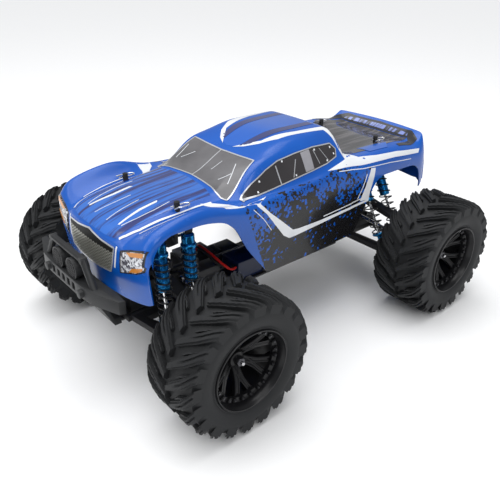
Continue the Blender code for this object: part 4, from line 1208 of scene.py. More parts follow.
REAR_ARCH = ((-88, 28), (-39, 93), (19, 92), (38, 84), (46, 62))


def glide(knots: np.ndarray, spots: np.ndarray) -> np.ndarray:
    """Passes a smooth line through values at 0, 1, 2 ... that never swings past them.

    Args:
        knots: the values, one row each.
        spots: where the line is wanted.

    Returns:
        the values there, one row each.
    """
    steps = np.diff(knots, axis=0)
    before, after = steps[:-1], steps[1:]
    total = before + after
    safe = np.where(np.abs(total) < 1e-9, 1.0, total)
    inner = np.where(before * after > 0, 2 * before * after / safe, 0.0)
    slopes = np.concatenate([steps[:1], inner, steps[-1:]])
    low = np.clip(np.floor(spots).astype(int), 0, len(knots) - 2)
    t = (spots - low).reshape(-1, *([1] * (knots.ndim - 1)))
    a, b, m, n = knots[low], knots[low + 1], slopes[low], slopes[low + 1]
    return (
        (1 + 2 * t) * (1 - t) ** 2 * a + t * (1 - t) ** 2 * m + t * t * (3 - 2 * t) * b + t * t * (t - 1) * n
    )


@dataclass
class Skin:
    """The body's outer surface as a fine grid, and rays against it.

    Attributes:
        rows: how many steps run between two stations.
        columns: how many steps run between two rails.
        rounds: how many passes round off the folds.
        sweep_edge: the x that each station's sweep is given at.
    """

    rows: int = 9
    columns: int = 9
    rounds: int = 3
    sweep_edge: float = 92.0

    def __post_init__(self) -> None:
        """Works out the grid and its tree."""
        knots = np.array([[(x, z) for x, z in row[2]] for row in STATIONS], float)
        middles = np.array([(row[0], row[1]) for row in STATIONS], float)
        along = np.arange(0, len(STATIONS) - 1 + 1e-9, 1 / self.rows)
        across = np.arange(0, knots.shape[1] - 1 + 1e-9, 1 / self.columns)
        lines = glide(knots, along)
        half = np.stack([glide(line, across) for line in lines])
        centres = glide(middles, along)
        x, z = half[..., 0], half[..., 1] + AXLE_HEIGHT
        y = centres[:, :1] + centres[:, 1:] * (x / self.sweep_edge) ** 2
        right = np.stack([x, y, z], axis=-1)
        left = right[:, :0:-1] * np.array([-1.0, 1.0, 1.0])
        grid = np.concatenate([left, right], axis=1)
        for _ in range(self.rounds):
            inner = grid.copy()
            inner[1:-1] = grid[1:-1] * 0.5 + (grid[:-2] + grid[2:]) * 0.25
            grid = inner.copy()
            grid[:, 1:-1] = inner[:, 1:-1] * 0.5 + (inner[:, :-2] + inner[:, 2:]) * 0.25
        self.grid = grid
        n, m = grid.shape[:2]
        self.faces = [
            (i * m + j, i * m + j + 1, (i + 1) * m + j + 1, (i + 1) * m + j)
            for i in range(n - 1)
            for j in range(m - 1)
        ]
        self.tree = BVHTree.FromPolygons([Vector(p) for p in grid.reshape(-1, 3)], self.faces)

    def hit(self, start: Point, way: Point) -> tuple[Vector, Vector] | None:
        """Casts a ray at the surface.

        Args:
            start: where it starts.
            way: its direction.

        Returns:
            the point and the outward normal there, or None.
        """
        spot, normal, _, _ = self.tree.ray_cast(Vector(start), Vector(way).normalized())
        if spot is None:
            return None
        return spot, -normal if normal.dot(Vector(way)) > 0 else normal


class Face(Enum):
    """The directions that flat outlines are laid on the skin from."""

    LEFT = ((1, 0, 0), (1, 2))
    RIGHT = ((-1, 0, 0), (1, 2))
    TOP = ((0, 0, 1), (0, 1))
    NOSE = ((0, -1, 0), (0, 2))
    TAIL = ((0, 1, 0), (0, 2))


@dataclass
class Shell:
    """The printed polycarbonate body with its windows, stripes, grille and lamps.

    Attributes:
        thickness: the sheet's thickness.
        vinyl: how far a graphic stands off the sheet.
        cell: the spacing of a graphic's mesh.
    """

    thickness: float = 1.5
    vinyl: float = 0.28
    cell: float = 4.0

    def __post_init__(self) -> None:
        """Makes the skin once."""
        self.skin = Skin()

    def arch_cutter(self, outline: tuple[Flat, ...], axle: float, side: Side) -> bpy.types.Object:
        """Makes the block that opens one wheel arch.

        Args:
            outline: the arch as (offset from the axle, height over it).
            axle: the axle's y.
            side: the side.

        Returns:
            the hidden block.
        """
        smooth = glide(np.array(outline, float), np.arange(0, len(outline) - 1 + 1e-9, 0.2))
        points = [(axle + y, AXLE_HEIGHT + z) for y, z in smooth]
        points = [(points[0][0], 40.0), *points, (points[-1][0], 40.0)]
        low, high = sorted((side.value * 78.0, side.value * 130.0))
        mesh = Solid().prism(points, low, high, Axis.X).mesh("arch_cutter")
        thing = bpy.data.objects.new("arch_cutter", mesh)
        bpy.context.scene.collection.objects.link(thing)
        return thing

    def sheet(self) -> None:
        """Makes the painted sheet with its wheel arches open."""
        mesh = bpy.data.meshes.new("body_sheet")
        mesh.from_pydata([tuple(Vector(p) * MM) for p in self.skin.grid.reshape(-1, 3)], [], self.skin.faces)
        bm = bmesh.new()
        bm.from_mesh(mesh)
        bmesh.ops.remove_doubles(bm, verts=bm.verts, dist=0.02 * MM)
        bmesh.ops.recalc_face_normals(bm, faces=bm.faces)
        top = max(bm.faces, key=lambda f: f.calc_center_median().z)
        if top.normal.z < 0:
            bmesh.ops.reverse_faces(bm, faces=bm.faces)
        bm.to_mesh(mesh)
        bm.free()
        thing = place_object(mesh, NYLON)
        mesh.materials.clear()
        mesh.materials.append(paint_material())
        wall = thing.modifiers.new("wall", "SOLIDIFY")
        wall.thickness = self.thickness * MM
        wall.offset = -1
        bake(thing)
        cutters = [
            self.arch_cutter(outline, end.value, side)
            for outline, end in ((FRONT_ARCH, End.FRONT), (REAR_ARCH, End.REAR))
            for side in Side
        ]
        for cutter in cutters:
            cut = thing.modifiers.new("arch", "BOOLEAN")
            cut.object, cut.operation, cut.solver = cutter, "DIFFERENCE", "EXACT"
        bake(thing)
        for cutter in cutters:
            bpy.data.objects.remove(cutter)
        settle(thing, "chassis", ("body_shell",))

    def lay(
        self,
        name: str,
        outlines: list[list[Flat]],
        face: Face,
        finish: Finish,
        lift: float = 0.0,
        height: float | None = None,
        material: bpy.types.Material | None = None,
    ) -> bpy.types.Object | None:
        """Lays flat outlines on the skin as thin closed sheets.

        Args:
            name: the piece's name.
            outlines: the corners of each, in the plane that the face looks along.
            face: where it is laid from.
            finish: its finish.
            lift: how far its underside stands off the skin.
            height: its thickness, or None for a printed film.
            material: a material to use instead of the finish's.

        Returns:
            the piece, or None where nothing is under it.
        """
        toward, (first, second) = face.value
        depth = ({0, 1, 2} - {first, second}).pop()
        bm = bmesh.new()

        def corner(p: Flat) -> Vector:
            """Puts a flat corner in space."""
            spot = Vector((0, 0, 0))
            spot[first], spot[second] = p
            return spot

        for outline in outlines:
            bm.faces.new([bm.verts.new(corner(p)) for p in outline])
        spread = [p for outline in outlines for p in outline]
        for k in (first, second):
            low = min(p[(first, second).index(k)] for p in spread)
            high = max(p[(first, second).index(k)] for p in spread)
            normal = Vector((0, 0, 0))
            normal[k] = 1
            for i in range(1, int((high - low) / self.cell) + 1):
                plane = Vector((0, 0, 0))
                plane[k] = low + i * self.cell
                everything = list(bm.verts) + list(bm.edges) + list(bm.faces)
                bmesh.ops.bisect_plane(bm, geom=everything, plane_co=plane, plane_no=normal, dist=1e-4)
        lost = []
        for v in bm.verts:
            start = v.co.copy()
            start[depth] = toward[depth] * 400.0
            found = self.skin.hit(tuple(start), tuple(-c for c in toward))
            if found is None:
                lost.append(v)
                continue
            spot, normal = found
            v.co = (spot + normal * (lift + 0.02)) * MM
        bmesh.ops.delete(bm, geom=lost, context="VERTS")
        if not bm.faces:
            LOG.warning("%s found no skin under it", name)
            return None
        bmesh.ops.recalc_face_normals(bm, faces=bm.faces)
        tilt = sum((f.normal * f.calc_area() for f in bm.faces), Vector())
        if tilt.dot(Vector(toward)) < 0:
            bmesh.ops.reverse_faces(bm, faces=bm.faces)
        bm.normal_update()
        mesh = bpy.data.meshes.new(name)
        bm.to_mesh(mesh)
        bm.free()
        thing = place_object(mesh, finish)
        if material:
            mesh.materials[0] = material
        wall = thing.modifiers.new("film", "SOLIDIFY")
        wall.thickness = (height or self.vinyl) * MM
        wall.offset = 1
        bake(thing)
        return settle(thing, "chassis")


SMOKE_FRONT = Finish("windscreen_print", (0.02, 0.018, 0.02), (0.26, 0.255, 0.265), 0.2, Pattern.GLOSS,
    coat=0.35, bump=0.0)
SMOKE_SIDE = Finish("side_window_print", (0.012, 0.01, 0.011), (0.05, 0.045, 0.048), 0.2, Pattern.GLOSS,
    coat=0.8, bump=0.0)
ROOF_BLUE = Finish("roof_print", (0.012, 0.13, 0.56), (0.006, 0.085, 0.44), 0.24, Pattern.GLOSS, coat=0.8,
    bump=0.0)
STREAK_DARK = Finish("streak_print", (0.02, 0.03, 0.12), (0.05, 0.06, 0.2), 0.28, Pattern.GLOSS, coat=0.7,
    bump=0.0)
BED_DARK = Finish("bed_print", (0.016, 0.014, 0.015), (0.07, 0.065, 0.068), 0.3, Pattern.GLOSS, coat=0.7,
    bump=0.0)
# Near-black: the printed grille and the pod floors, and the painted shade of the motor's vent slots.
GRILLE_DARK = Finish("grille_floor", (0.004, 0.004, 0.004), (0.01, 0.01, 0.009), 0.5, bump=0.03)
GRILLE_WIRE = Finish("grille_wire", (0.3, 0.3, 0.26), (0.5, 0.5, 0.45), 0.3, Pattern.GLOSS, 0.5, 0.3)
LAMP_RED = Finish("red_lamp", (0.35, 0.008, 0.006), (0.6, 0.02, 0.015), 0.15, Pattern.GLOSS, coat=0.7,
    bump=0.0)
BLUE = (0.002, 0.105, 0.5)
BLUE_DEEP = (0.001, 0.07, 0.38)
SPLATTER_BLACK = (0.008, 0.008, 0.009)


def splatter_group() -> bpy.types.NodeTree:
    """Builds once the printed splatter, which is full where its level is 1 and gone where it is 0.

    Returns:
        the shader node group.
    """
    found = bpy.data.node_groups.get("splatter")
    if found:
        return found
    group = bpy.data.node_groups.new("splatter", "ShaderNodeTree")
    socket(group, "Level", "Float", value=0.5)
    socket(group, "Seed", "Float", value=0.0)
    socket(group, "Mask", "Float", "OUTPUT")
    nodes, links = group.nodes, group.links
    entry, leave = nodes.new("NodeGroupInput"), nodes.new("NodeGroupOutput")
    place = nodes.new("ShaderNodeTexCoord")
    cloud, cells = nodes.new("ShaderNodeTexNoise"), nodes.new("ShaderNodeTexVoronoi")
    cloud.noise_dimensions = "4D"
    cloud.inputs["Scale"].default_value = 55
    cloud.inputs["Detail"].default_value = 6
    cloud.inputs["Roughness"].default_value = 0.7
    cells.distance = "CHEBYCHEV"
    cells.inputs["Scale"].default_value = 330
    blend = nodes.new("ShaderNodeMix")
    blend.inputs["Factor"].default_value = 0.3
    compare = nodes.new("ShaderNodeMapRange")
    compare.inputs["To Min"].default_value = 1
    compare.inputs["To Max"].default_value = 0
    high = nodes.new("ShaderNodeMath")
    high.operation = "ADD"
    high.inputs[1].default_value = 0.03
    grey = nodes.new("ShaderNodeSeparateColor")
    for texture in (cloud, cells):
        links.new(place.outputs["Object"], texture.inputs["Vector"])
    links.new(entry.outputs["Seed"], cloud.inputs["W"])
    links.new(cells.outputs["Color"], grey.inputs[0])
    links.new(cloud.outputs[0], blend.inputs["A"])
    links.new(grey.outputs[0], blend.inputs["B"])
    links.new(blend.outputs[0], compare.inputs["Value"])
    links.new(entry.outputs["Level"], compare.inputs["From Min"])
    links.new(entry.outputs["Level"], high.inputs[0])
    links.new(high.outputs[0], compare.inputs["From Max"])
    links.new(compare.outputs[0], leave.inputs["Mask"])
    return group


class Wiring:
    """Short calls that wire plain maths into a shader."""

    def __init__(self, tree: bpy.types.NodeTree) -> None:
        """Keeps the tree.

        Args:
            tree: the material's node tree.
        """
        self.tree = tree

    def sum(self, operation: str, *values) -> bpy.types.NodeSocket:
        """Adds one maths node.

        Args:
            operation: the node's operation.
            values: sockets or numbers for its inputs.

        Returns:
            its output.
        """
        node = self.tree.nodes.new("ShaderNodeMath")
        node.operation = operation
        for i, value in enumerate(values):
            if isinstance(value, (int, float)):
                node.inputs[i].default_value = value
            else:
                self.tree.links.new(value, node.inputs[i])
        return node.outputs[0]

    def ramp(self, value, low: float, high: float, start: float = 0.0, end: float = 1.0):
        """Adds a clamped map from one range to another.

        Args:
            value: the socket.
            low: the value that gives start.
            high: the value that gives end.
            start: the first result.
            end: the last result.

        Returns:
            its output.
        """
        node = self.tree.nodes.new("ShaderNodeMapRange")
        self.tree.links.new(value, node.inputs["Value"])
        for name, number in (("From Min", low), ("From Max", high), ("To Min", start), ("To Max", end)):
            node.inputs[name].default_value = number
        return node.outputs[0]

    def mix(self, factor, first, second):
        """Adds a colour mix.

        Args:
            factor: the socket for its share.
            first: a colour or a socket.
            second: a colour or a socket.

        Returns:
            its output.
        """
        node = self.tree.nodes.new("ShaderNodeMix")
        node.data_type = "RGBA"
        self.tree.links.new(factor, node.inputs["Factor"])
        for name, value in (("A", first), ("B", second)):
            if isinstance(value, tuple):
                node.inputs[name].default_value = (*value, 1)
            else:
                self.tree.links.new(value, node.inputs[name])
        return node.outputs["Result"]


# Where the paint changes over, in metres: (start, end) of each blend, with the levels it runs between
FLANK_EDGE = (0.077, 0.082)
DOOR_SLANT = 0.36
DOOR_FRONT_EDGE = (-0.0235, -0.0195)
DOOR_REAR_EDGE = (0.114, 0.118, 1.0, 0.0)
WAIST_RISE = (-0.05, -0.036, 0.160, 0.190)
WAIST_DROP = (0.02, 0.11, 0.0, 0.020)
DOOR_SPRAY = (-0.004, 0.036, 0.40, 0.64)
SKIRT_SPRAY = (0.134, 0.139, 0.545, 0.0)
TONE_SCALE = 14
PAINT_ROUGHNESS = 0.26
PAINT_ROUGHNESS_SPREAD = 0.08
PAINT_COAT = 0.2
PAINT_COAT_ROUGHNESS = 0.05
PAINT_SHINE = 0.35


def paint_material() -> bpy.types.Material:
    """Makes the body's glossy paint, blue above and splattered black along the doors and sills.

    Returns:
        the material.
    """
    made = bpy.data.materials.new("body_paint")
    made.use_nodes = True
    tree = made.node_tree
    nodes, links = tree.nodes, tree.links
    wire = Wiring(tree)
    place, split = nodes.new("ShaderNodeTexCoord"), nodes.new("ShaderNodeSeparateXYZ")
    links.new(place.outputs["Object"], split.inputs[0])
    x, y, z = split.outputs
    outward = wire.sum("ABSOLUTE", x)
    side = wire.ramp(outward, *FLANK_EDGE)
    slant = wire.sum("ADD", y, wire.sum("MULTIPLY", z, DOOR_SLANT))
    behind = wire.ramp(slant, *DOOR_FRONT_EDGE)
    ahead = wire.ramp(y, *DOOR_REAR_EDGE)
    front_lower = wire.ramp(y, *WAIST_RISE)
    rear_lower = wire.ramp(y, *WAIST_DROP)
    top = wire.sum("SUBTRACT", front_lower, rear_lower)
    depth = wire.sum("SUBTRACT", top, z)
    door = wire.ramp(depth, *DOOR_SPRAY)
    skirt = wire.ramp(z, *SKIRT_SPRAY)
    level = wire.sum("MAXIMUM", door, skirt)
    zone = wire.sum("MULTIPLY", wire.sum("MULTIPLY", side, behind), ahead)
    splash = nodes.new("ShaderNodeGroup")
    splash.node_tree = splatter_group()
    links.new(wire.sum("MULTIPLY", level, zone), splash.inputs["Level"])
    mask = wire.sum("MULTIPLY", splash.outputs["Mask"], zone)
    tone = nodes.new("ShaderNodeTexNoise")
    tone.inputs["Scale"].default_value = TONE_SCALE
    links.new(place.outputs["Object"], tone.inputs["Vector"])
    blue = wire.mix(tone.outputs[0], BLUE, BLUE_DEEP)
    shader = nodes["Principled BSDF"]
    links.new(wire.mix(mask, blue, SPLATTER_BLACK), shader.inputs["Base Color"])
    effect = nodes.new("ShaderNodeGroup")
    effect.node_tree = surface_group()
    effect.inputs["Roughness"].default_value = PAINT_ROUGHNESS
    effect.inputs["Spread"].default_value = PAINT_ROUGHNESS_SPREAD
    links.new(effect.outputs["Roughness"], shader.inputs["Roughness"])
    shader.inputs["Coat Weight"].default_value = PAINT_COAT
    shader.inputs["Coat Roughness"].default_value = PAINT_COAT_ROUGHNESS
    shader.inputs["Specular IOR Level"].default_value = PAINT_SHINE
    return made


def streak_material(name: str, ground: Colour, streak: Colour, level: float) -> bpy.types.Material:
    """Makes a printed panel with streaks along the truck.

    Args:
        name: the material's name.
        ground: the colour between the streaks.
        streak: the colour of the streaks.
        level: how much of the panel the streaks cover, from 0 to 1.

    Returns:
        the material.
    """
    made = bpy.data.materials.new(name)
    made.use_nodes = True
    nodes, links = made.node_tree.nodes, made.node_tree.links
    wire = Wiring(made.node_tree)
    place, stretch = nodes.new("ShaderNodeTexCoord"), nodes.new("ShaderNodeMapping")
    stretch.inputs["Scale"].default_value = (170, 9, 30)
    lines = nodes.new("ShaderNodeTexNoise")
    lines.inputs["Scale"].default_value = 1.0
    lines.inputs["Detail"].default_value = 4
    links.new(place.outputs["Object"], stretch.inputs["Vector"])
    links.new(stretch.outputs[0], lines.inputs["Vector"])
    shader = nodes["Principled BSDF"]
    share = wire.ramp(lines.outputs[0], level - 0.06, level + 0.06, 1.0, 0.0)
    links.new(wire.mix(share, ground, streak), shader.inputs["Base Color"])
    shader.inputs["Roughness"].default_value = 0.26
    shader.inputs["Coat Weight"].default_value = 0.8
    shader.inputs["Coat Roughness"].default_value = 0.06
    return made


def mirrored(points: list[Flat], side: Side) -> list[Flat]:
    """Moves an outline seen from above or ahead to one side."""
    return [(side.value * p[0], p[1]) for p in points]


def crossing(outline: list[Flat], point: Vector, way: Vector) -> list[Flat]:
    """Finds where a straight line enters and leaves a convex outline.

    Args:
        outline: the outline's corners.
        point: a point on the line.
        way: the line's direction.

    Returns:
        the two ends, or nothing where the line misses.
    """
    cuts = []
    normal = Vector((-way.y, way.x))
    for a, b in zip(outline, outline[1:] + outline[:1]):
        va, vb = Vector(a), Vector(b)
        da, db = (va - point).dot(normal), (vb - point).dot(normal)
        if da * db < 0:
            cuts.append(tuple(va.lerp(vb, da / (da - db))))
    return cuts[:2] if len(cuts) >= 2 else []


def stripe(line: list[Flat], width: float) -> list[Flat]:
    """Gives a line a width.

    Args:
        line: the points of its middle.
        width: the width.

    Returns:
        the outline.
    """
    spots = [Vector(p) for p in line]
    ways = [(b - a).normalized() for a, b in zip(spots, spots[1:])]
    left, right = [], []
    for i, spot in enumerate(spots):
        way = (ways[max(i - 1, 0)] + ways[min(i, len(ways) - 1)]).normalized()
        normal = Vector((-way.y, way.x)) * width / 2
        left.append(tuple(spot + normal))
        right.append(tuple(spot - normal))
    return left + right[::-1]


SIDE_WINDOW = [
    (-78, 187), (-59, 199.5), (-39, 209.5), (-21, 215), (6, 218), (33, 219), (62, 217.5), (68, 211),
    (65, 203.5),
    (48, 199), (23, 196), (-3, 193.5), (-33, 190.5), (-57, 188),
]
WINDSCREEN = [
    (0, -46), (30, -45), (53, -43.5), (56, -60), (61, -78), (64.5, -90), (58, -92.5), (50, -93),
    (39, -90.5), (19, -88.5),
    (0, -87.5),
]
GRILLE = [(0, 170.5), (24, 167), (45.5, 165.5), (43, 150), (39, 138.5), (20, 136.5), (0, 136)]
LAMP = [(54, 166), (68, 171), (85, 176), (90.5, 176.5), (88.5, 167), (87.5, 161), (90, 160), (88, 155),
    (77, 149), (53, 142)]


class Graphics(Shell):
    """The shell's print: windows, stripes, panels, grille and lamps."""

    def windows(self) -> None:
        """Prints the windscreen and the side windows, with their trims and rivets."""
        screen = WINDSCREEN + [(-x, y) for x, y in WINDSCREEN[-2:0:-1]]
        self.lay("windscreen", [screen], Face.TOP, SMOKE_FRONT)
        trims = [stripe([(x, y) for x, y in screen[a:b]], 1.5) for a, b in ((0, 3), (2, 6), (5, 11))]
        trims += [[(-x, y) for x, y in t] for t in trims]
        trims.append(stripe([(0.5, -46), (0.5, -87)], 1.3))
        self.lay("windscreen_trim", trims, Face.TOP, SILVER_VINYL, 0.3)
        scratches = [
            stripe([(37, -55), (44, -66), (50, -77)], 0.8),
            stripe([(43, -66), (35, -78)], 0.7),
            stripe([(-50, -55), (-49, -74)], 0.8),
            stripe([(-30, -60), (-42, -72)], 0.6),
            stripe([(17, -58), (14, -71)], 0.5),
        ]
        self.lay("windscreen_streaks", scratches, Face.TOP, WHITE_VINYL, 0.3)
        for side in Side:
            face = Face[side.name]
            edge = SIDE_WINDOW + SIDE_WINDOW[:1]
            self.lay(f"side_window_{side.label}", [SIDE_WINDOW], face, SMOKE_SIDE)
            runs = [stripe(edge[a:b], 1.1) for a, b in ((0, 7), (6, 9), (8, 15))]
            self.lay(f"side_window_trim_{side.label}", runs, face, SILVER_VINYL, 0.3)
            lines = [
                stripe([(-25, 211), (-23, 192)], 1.4),
                stripe([(4, 212), (-4, 195)], 0.9),
                stripe([(33, 216), (38, 201)], 0.7),
                stripe([(43, 216), (52, 202)], 0.6),
            ]
            self.lay(f"side_window_streaks_{side.label}", lines, face, SILVER_VINYL, 0.3)
            band = [[(13, 217), (27, 218), (28, 197.5), (15, 196.5)]]
            self.lay(f"side_window_band_{side.label}", band, face, PILLAR_PRINT, 0.3)
            spots = ((-50, 200), (-15, 213.5), (35, 216), (60, 214), (63, 207), (50, 202), (0, 196.5),
                (-55, 190.5))
            rivets = [[(y - 0.9, z - 0.9), (y + 0.9, z - 0.9), (y + 0.9, z + 0.9), (y - 0.9, z + 0.9)]
                for y, z in spots]
            self.lay(f"side_window_rivets_{side.label}", rivets, face, WHITE_VINYL, 0.35)

    def side_stripes(self) -> None:
        """Prints the white stripes of both sides."""
        bands = {
            "door": [(-70, 185.5), (-57, 172), (-46, 157), (-33, 140), (-24, 134), (-14, 136), (-17, 141),
                (-36, 158), (-52, 172), (-63, 184)],
            "sill": [(-24, 134), (-15, 134), (25, 136.5), (68, 139.5), (111, 141), (112, 143.6),
                (67, 142.6), (24, 141), (-10, 141.5), (-28, 144)],
            "arch": [(95, 145), (103, 160), (109, 173), (114, 182), (122, 181), (118.5, 168), (113, 153),
                (111.5, 143)],
            "bed": [(45, 192.3), (71, 191.5), (98, 188.5), (123, 187.2), (162, 185.2), (213, 179.5),
                (218, 183.6), (168, 190.5), (131, 193), (98, 196.5), (80, 199)],
        }
        lines = [
            stripe([(30, 144.5), (60, 146), (88, 147.5), (109, 148)], 1.1),
            stripe([(90, 149), (99, 163), (106, 177)], 1.0),
            stripe([(60, 189.5), (100, 184.5), (150, 181), (195, 176)], 0.9),
            stripe([(-74, 181), (-62, 168), (-51, 152)], 0.8),
        ]
        for side in Side:
            face = Face[side.name]
            for name, outline in bands.items():
                self.lay(f"stripe_{name}_{side.label}", [outline], face, WHITE_VINYL)
            self.lay(f"stripe_lines_{side.label}", lines, face, WHITE_VINYL)

    def top_stripes(self) -> None:
        """Prints the stripes and the panels that are seen from above."""
        roof = [(9, -37), (31, -14), (40, 29), (43.5, 70), (50, 71.5), (57, 73), (60, 71), (50, 65),
            (47, 32), (44, -1), (33, -20), (21, -31)]
        pillar = [(50, 69), (58, 70), (68, 73), (77, 78), (84, 92), (84, 112), (77, 99), (66, 80), (57, 75),
            (44, 71.5)]
        fender = [(54, -116), (59, -105.5), (72, -94), (84, -90), (86, -62), (80, -49), (82, -62),
            (82.5, -74), (86, -84), (86, -108), (66, -111)]
        bonnet = [
            stripe([(46.5, -206), (49.5, -200), (52.5, -187), (53, -163), (55, -142), (55.5, -121),
                (58, -105)], 2.2),
            stripe([(57, -190), (60, -165), (61, -140), (62, -124)], 0.9),
            [(29, -197), (24, -170), (24, -148), (27, -150), (27.5, -170), (31, -196)],
            stripe([(34, -196), (37, -180), (38, -160), (36, -141)], 0.8),
            stripe([(12, -200), (9, -178), (8, -160)], 0.7),
        ]
        for side in Side:
            shapes = [mirrored(roof, side), mirrored(pillar, side)]
            self.lay(f"stripe_roof_{side.label}", shapes[:1], Face.TOP, WHITE_VINYL)
            self.lay(f"stripe_pillar_{side.label}", shapes[1:], Face.TOP, WHITE_VINYL)
            self.lay(f"stripe_fender_{side.label}", [mirrored(fender, side)], Face.TOP, WHITE_VINYL)
            self.lay(f"stripe_bonnet_{side.label}", [mirrored(b, side) for b in bonnet], Face.TOP,
                WHITE_VINYL, 0.3)
        panel = [(0, -38), (14, -34), (17, -10), (20, 30), (21, 66), (0, 70)]
        shape = panel + [(-x, y) for x, y in panel[-2:0:-1]]
        self.lay("roof_panel", [shape], Face.TOP, ROOF_BLUE, height=0.14)
        dark = [(15, -33), (24, -24), (29, -5), (31, 30), (31, 68), (21, 67), (20.6, 30), (17.5, -10)]
        both = [mirrored(dark, side) for side in Side]
        self.lay("roof_shade", both, Face.TOP, STREAK_DARK)
        hood = [(0, -211.5), (26, -210.5), (43, -207.5), (46.5, -180), (48, -150), (48.5, -120), (50, -100),
            (30, -95), (0, -93)]
        shape = hood + [(-x, y) for x, y in hood[-2:0:-1]]
        print_ = streak_material("bonnet_print", (0.012, 0.13, 0.54), (0.006, 0.016, 0.14), 0.485)
        self.lay("bonnet_panel", [shape], Face.TOP, STREAK_DARK, material=print_)
        bed = [(0, 84), (52, 84), (62, 96), (66, 130), (66, 165), (64, 196), (58, 222), (0, 224)]
        shape = bed + [(-x, y) for x, y in bed[-2:0:-1]]
        print_ = streak_material("bed_streaks", (0.022, 0.019, 0.02), (0.11, 0.10, 0.105), 0.44)
        self.lay("bed_panel", [shape], Face.TOP, BED_DARK, material=print_)
        rim = [(0, 225), (58, 223), (66, 214), (70, 200), (72, 180), (77, 180), (77, 206), (72, 226),
            (56, 235.5), (0, 239.5)]
        shape = rim + [(-x, y) for x, y in rim[-2:0:-1]]
        self.lay("tail_rim", [shape], Face.TOP, DARK_VINYL, 0.0, 0.5)
        blue = [[(50, 130), (72, 128), (74, 160), (62, 172), (54, 150)]]
        for side in Side:
            self.lay(f"bed_splash_{side.label}", [mirrored(blue[0], side)], Face.TOP, ROOF_BLUE, 0.3)
        tail = [(0, 228.5), (36, 227.5), (56, 226), (53, 231), (34, 234), (0, 235.5)]
        shape = tail + [(-x, y) for x, y in tail[-2:0:-1]]
        print_ = streak_material("tail_streaks", (0.02, 0.02, 0.024), (0.2, 0.26, 0.6), 0.5)
        self.lay("tail_panel", [shape], Face.TOP, BED_DARK, 0.55, material=print_)

    def nose(self) -> None:
        """Makes the grille and the lamps."""
        shape = GRILLE + [(-x, z) for x, z in GRILLE[-2:0:-1]]
        self.lay("grille_floor", [shape], Face.NOSE, GRILLE_DARK)
        mesh_area = [(x, min(z, 160.0)) for x, z in shape]
        wires = []
        for lean in (1.0, -1.0):
            way = Vector((1.0, 0.62 * lean)).normalized()
            for i in range(-20, 21):
                ends = crossing(mesh_area, Vector((i * 5.2, 150.0)), way)
                if ends:
                    wires.append(stripe(ends, 0.8))
        self.lay("grille_lattice", wires, Face.NOSE, GRILLE_WIRE, 0.25, 0.5)
        edge = shape + shape[:1]
        frame_ = [stripe(edge[a:b], 1.5) for a, b in ((0, 3), (2, 5), (4, 9), (8, 11), (10, 13))]
        self.lay("grille_surround", frame_, Face.NOSE, SILVER_VINYL, 0.3, 0.6)
        for side in Side:
            lamp = mirrored(LAMP, side)
            self.lay(f"lamp_surround_{side.label}", [lamp], Face.NOSE, DARK_VINYL)
            middle = Vector((74.0, 160.0))
            inner = [tuple(middle + (Vector(p) - middle) * 0.86) for p in LAMP]
            glass = mirrored(inner, side)
            self.lay(f"lamp_{side.label}", [glass], Face.NOSE, SILVER_VINYL, 0.3, 0.8, lamp_material())
            corners = [
                [(64, 167.5), (84, 173.5), (87, 173.5), (86, 169.5), (70, 165.5)],
                [(68, 149), (78, 151.6), (85.5, 156), (86, 159), (72, 154)],
            ]
            self.lay(f"lamp_amber_{side.label}", [mirrored(c, side) for c in corners], Face.NOSE, AMBER,
                1.15, 0.4)
            trim = [mirrored(stripe([(48.5, 168), (47.4, 156), (45.6, 145)], 1.8), side)]
            self.lay(f"nose_trim_{side.label}", trim, Face.NOSE, WHITE_VINYL, 0.0)

    def tail(self) -> None:
        """Prints the rear window, the tailgate and the rear lamps."""
        window = [(-40, 205), (40, 205), (43, 212), (40, 225), (-40, 225), (-43, 212)]
        self.lay("rear_window", [window], Face.TAIL, SMOKE_SIDE)
        edge = window + window[:1]
        trims = [stripe(edge[i : i + 2], 1.1) for i in range(6)]
        self.lay("rear_window_trim", trims, Face.TAIL, SILVER_VINYL, 0.3)
        gate = [(-56, 192), (56, 192), (52, 166), (36, 158), (-36, 158), (-52, 166)]
        print_ = streak_material("gate_print", (0.012, 0.02, 0.09), (0.006, 0.006, 0.007), 0.52)
        self.lay("tailgate_print", [gate], Face.TAIL, DARK_VINYL, material=print_)
        lines = [stripe([(-56, 162), (-38, 154), (38, 154), (56, 162)], 1.6),
            stripe([(-50, 149), (50, 149)], 0.9)]
        self.lay("tailgate_stripes", lines, Face.TAIL, WHITE_VINYL, 0.0)
        for side in Side:
            lamp = mirrored([(60, 188), (71, 187), (74, 172), (69, 158), (59, 161)], side)
            self.lay(f"rear_lamp_surround_{side.label}", [lamp], Face.TAIL, DARK_VINYL)
            middle = Vector((66.0 * side.value, 173.5))
            red = [tuple(middle + (Vector(p) - middle) * 0.8) for p in lamp]
            self.lay(f"rear_lamp_{side.label}", [red], Face.TAIL, LAMP_RED, 0.3, 0.7)

    def build(self) -> None:
        """Makes the sheet and all of its print."""
        self.tail()
        self.sheet()
        self.windows()
        self.side_stripes()
        self.top_stripes()
        self.nose()


PILLAR_PRINT = Finish("pillar_print", (0.16, 0.15, 0.17), (0.45, 0.45, 0.48), 0.3, Pattern.GLOSS, coat=0.6,
    bump=0.0)


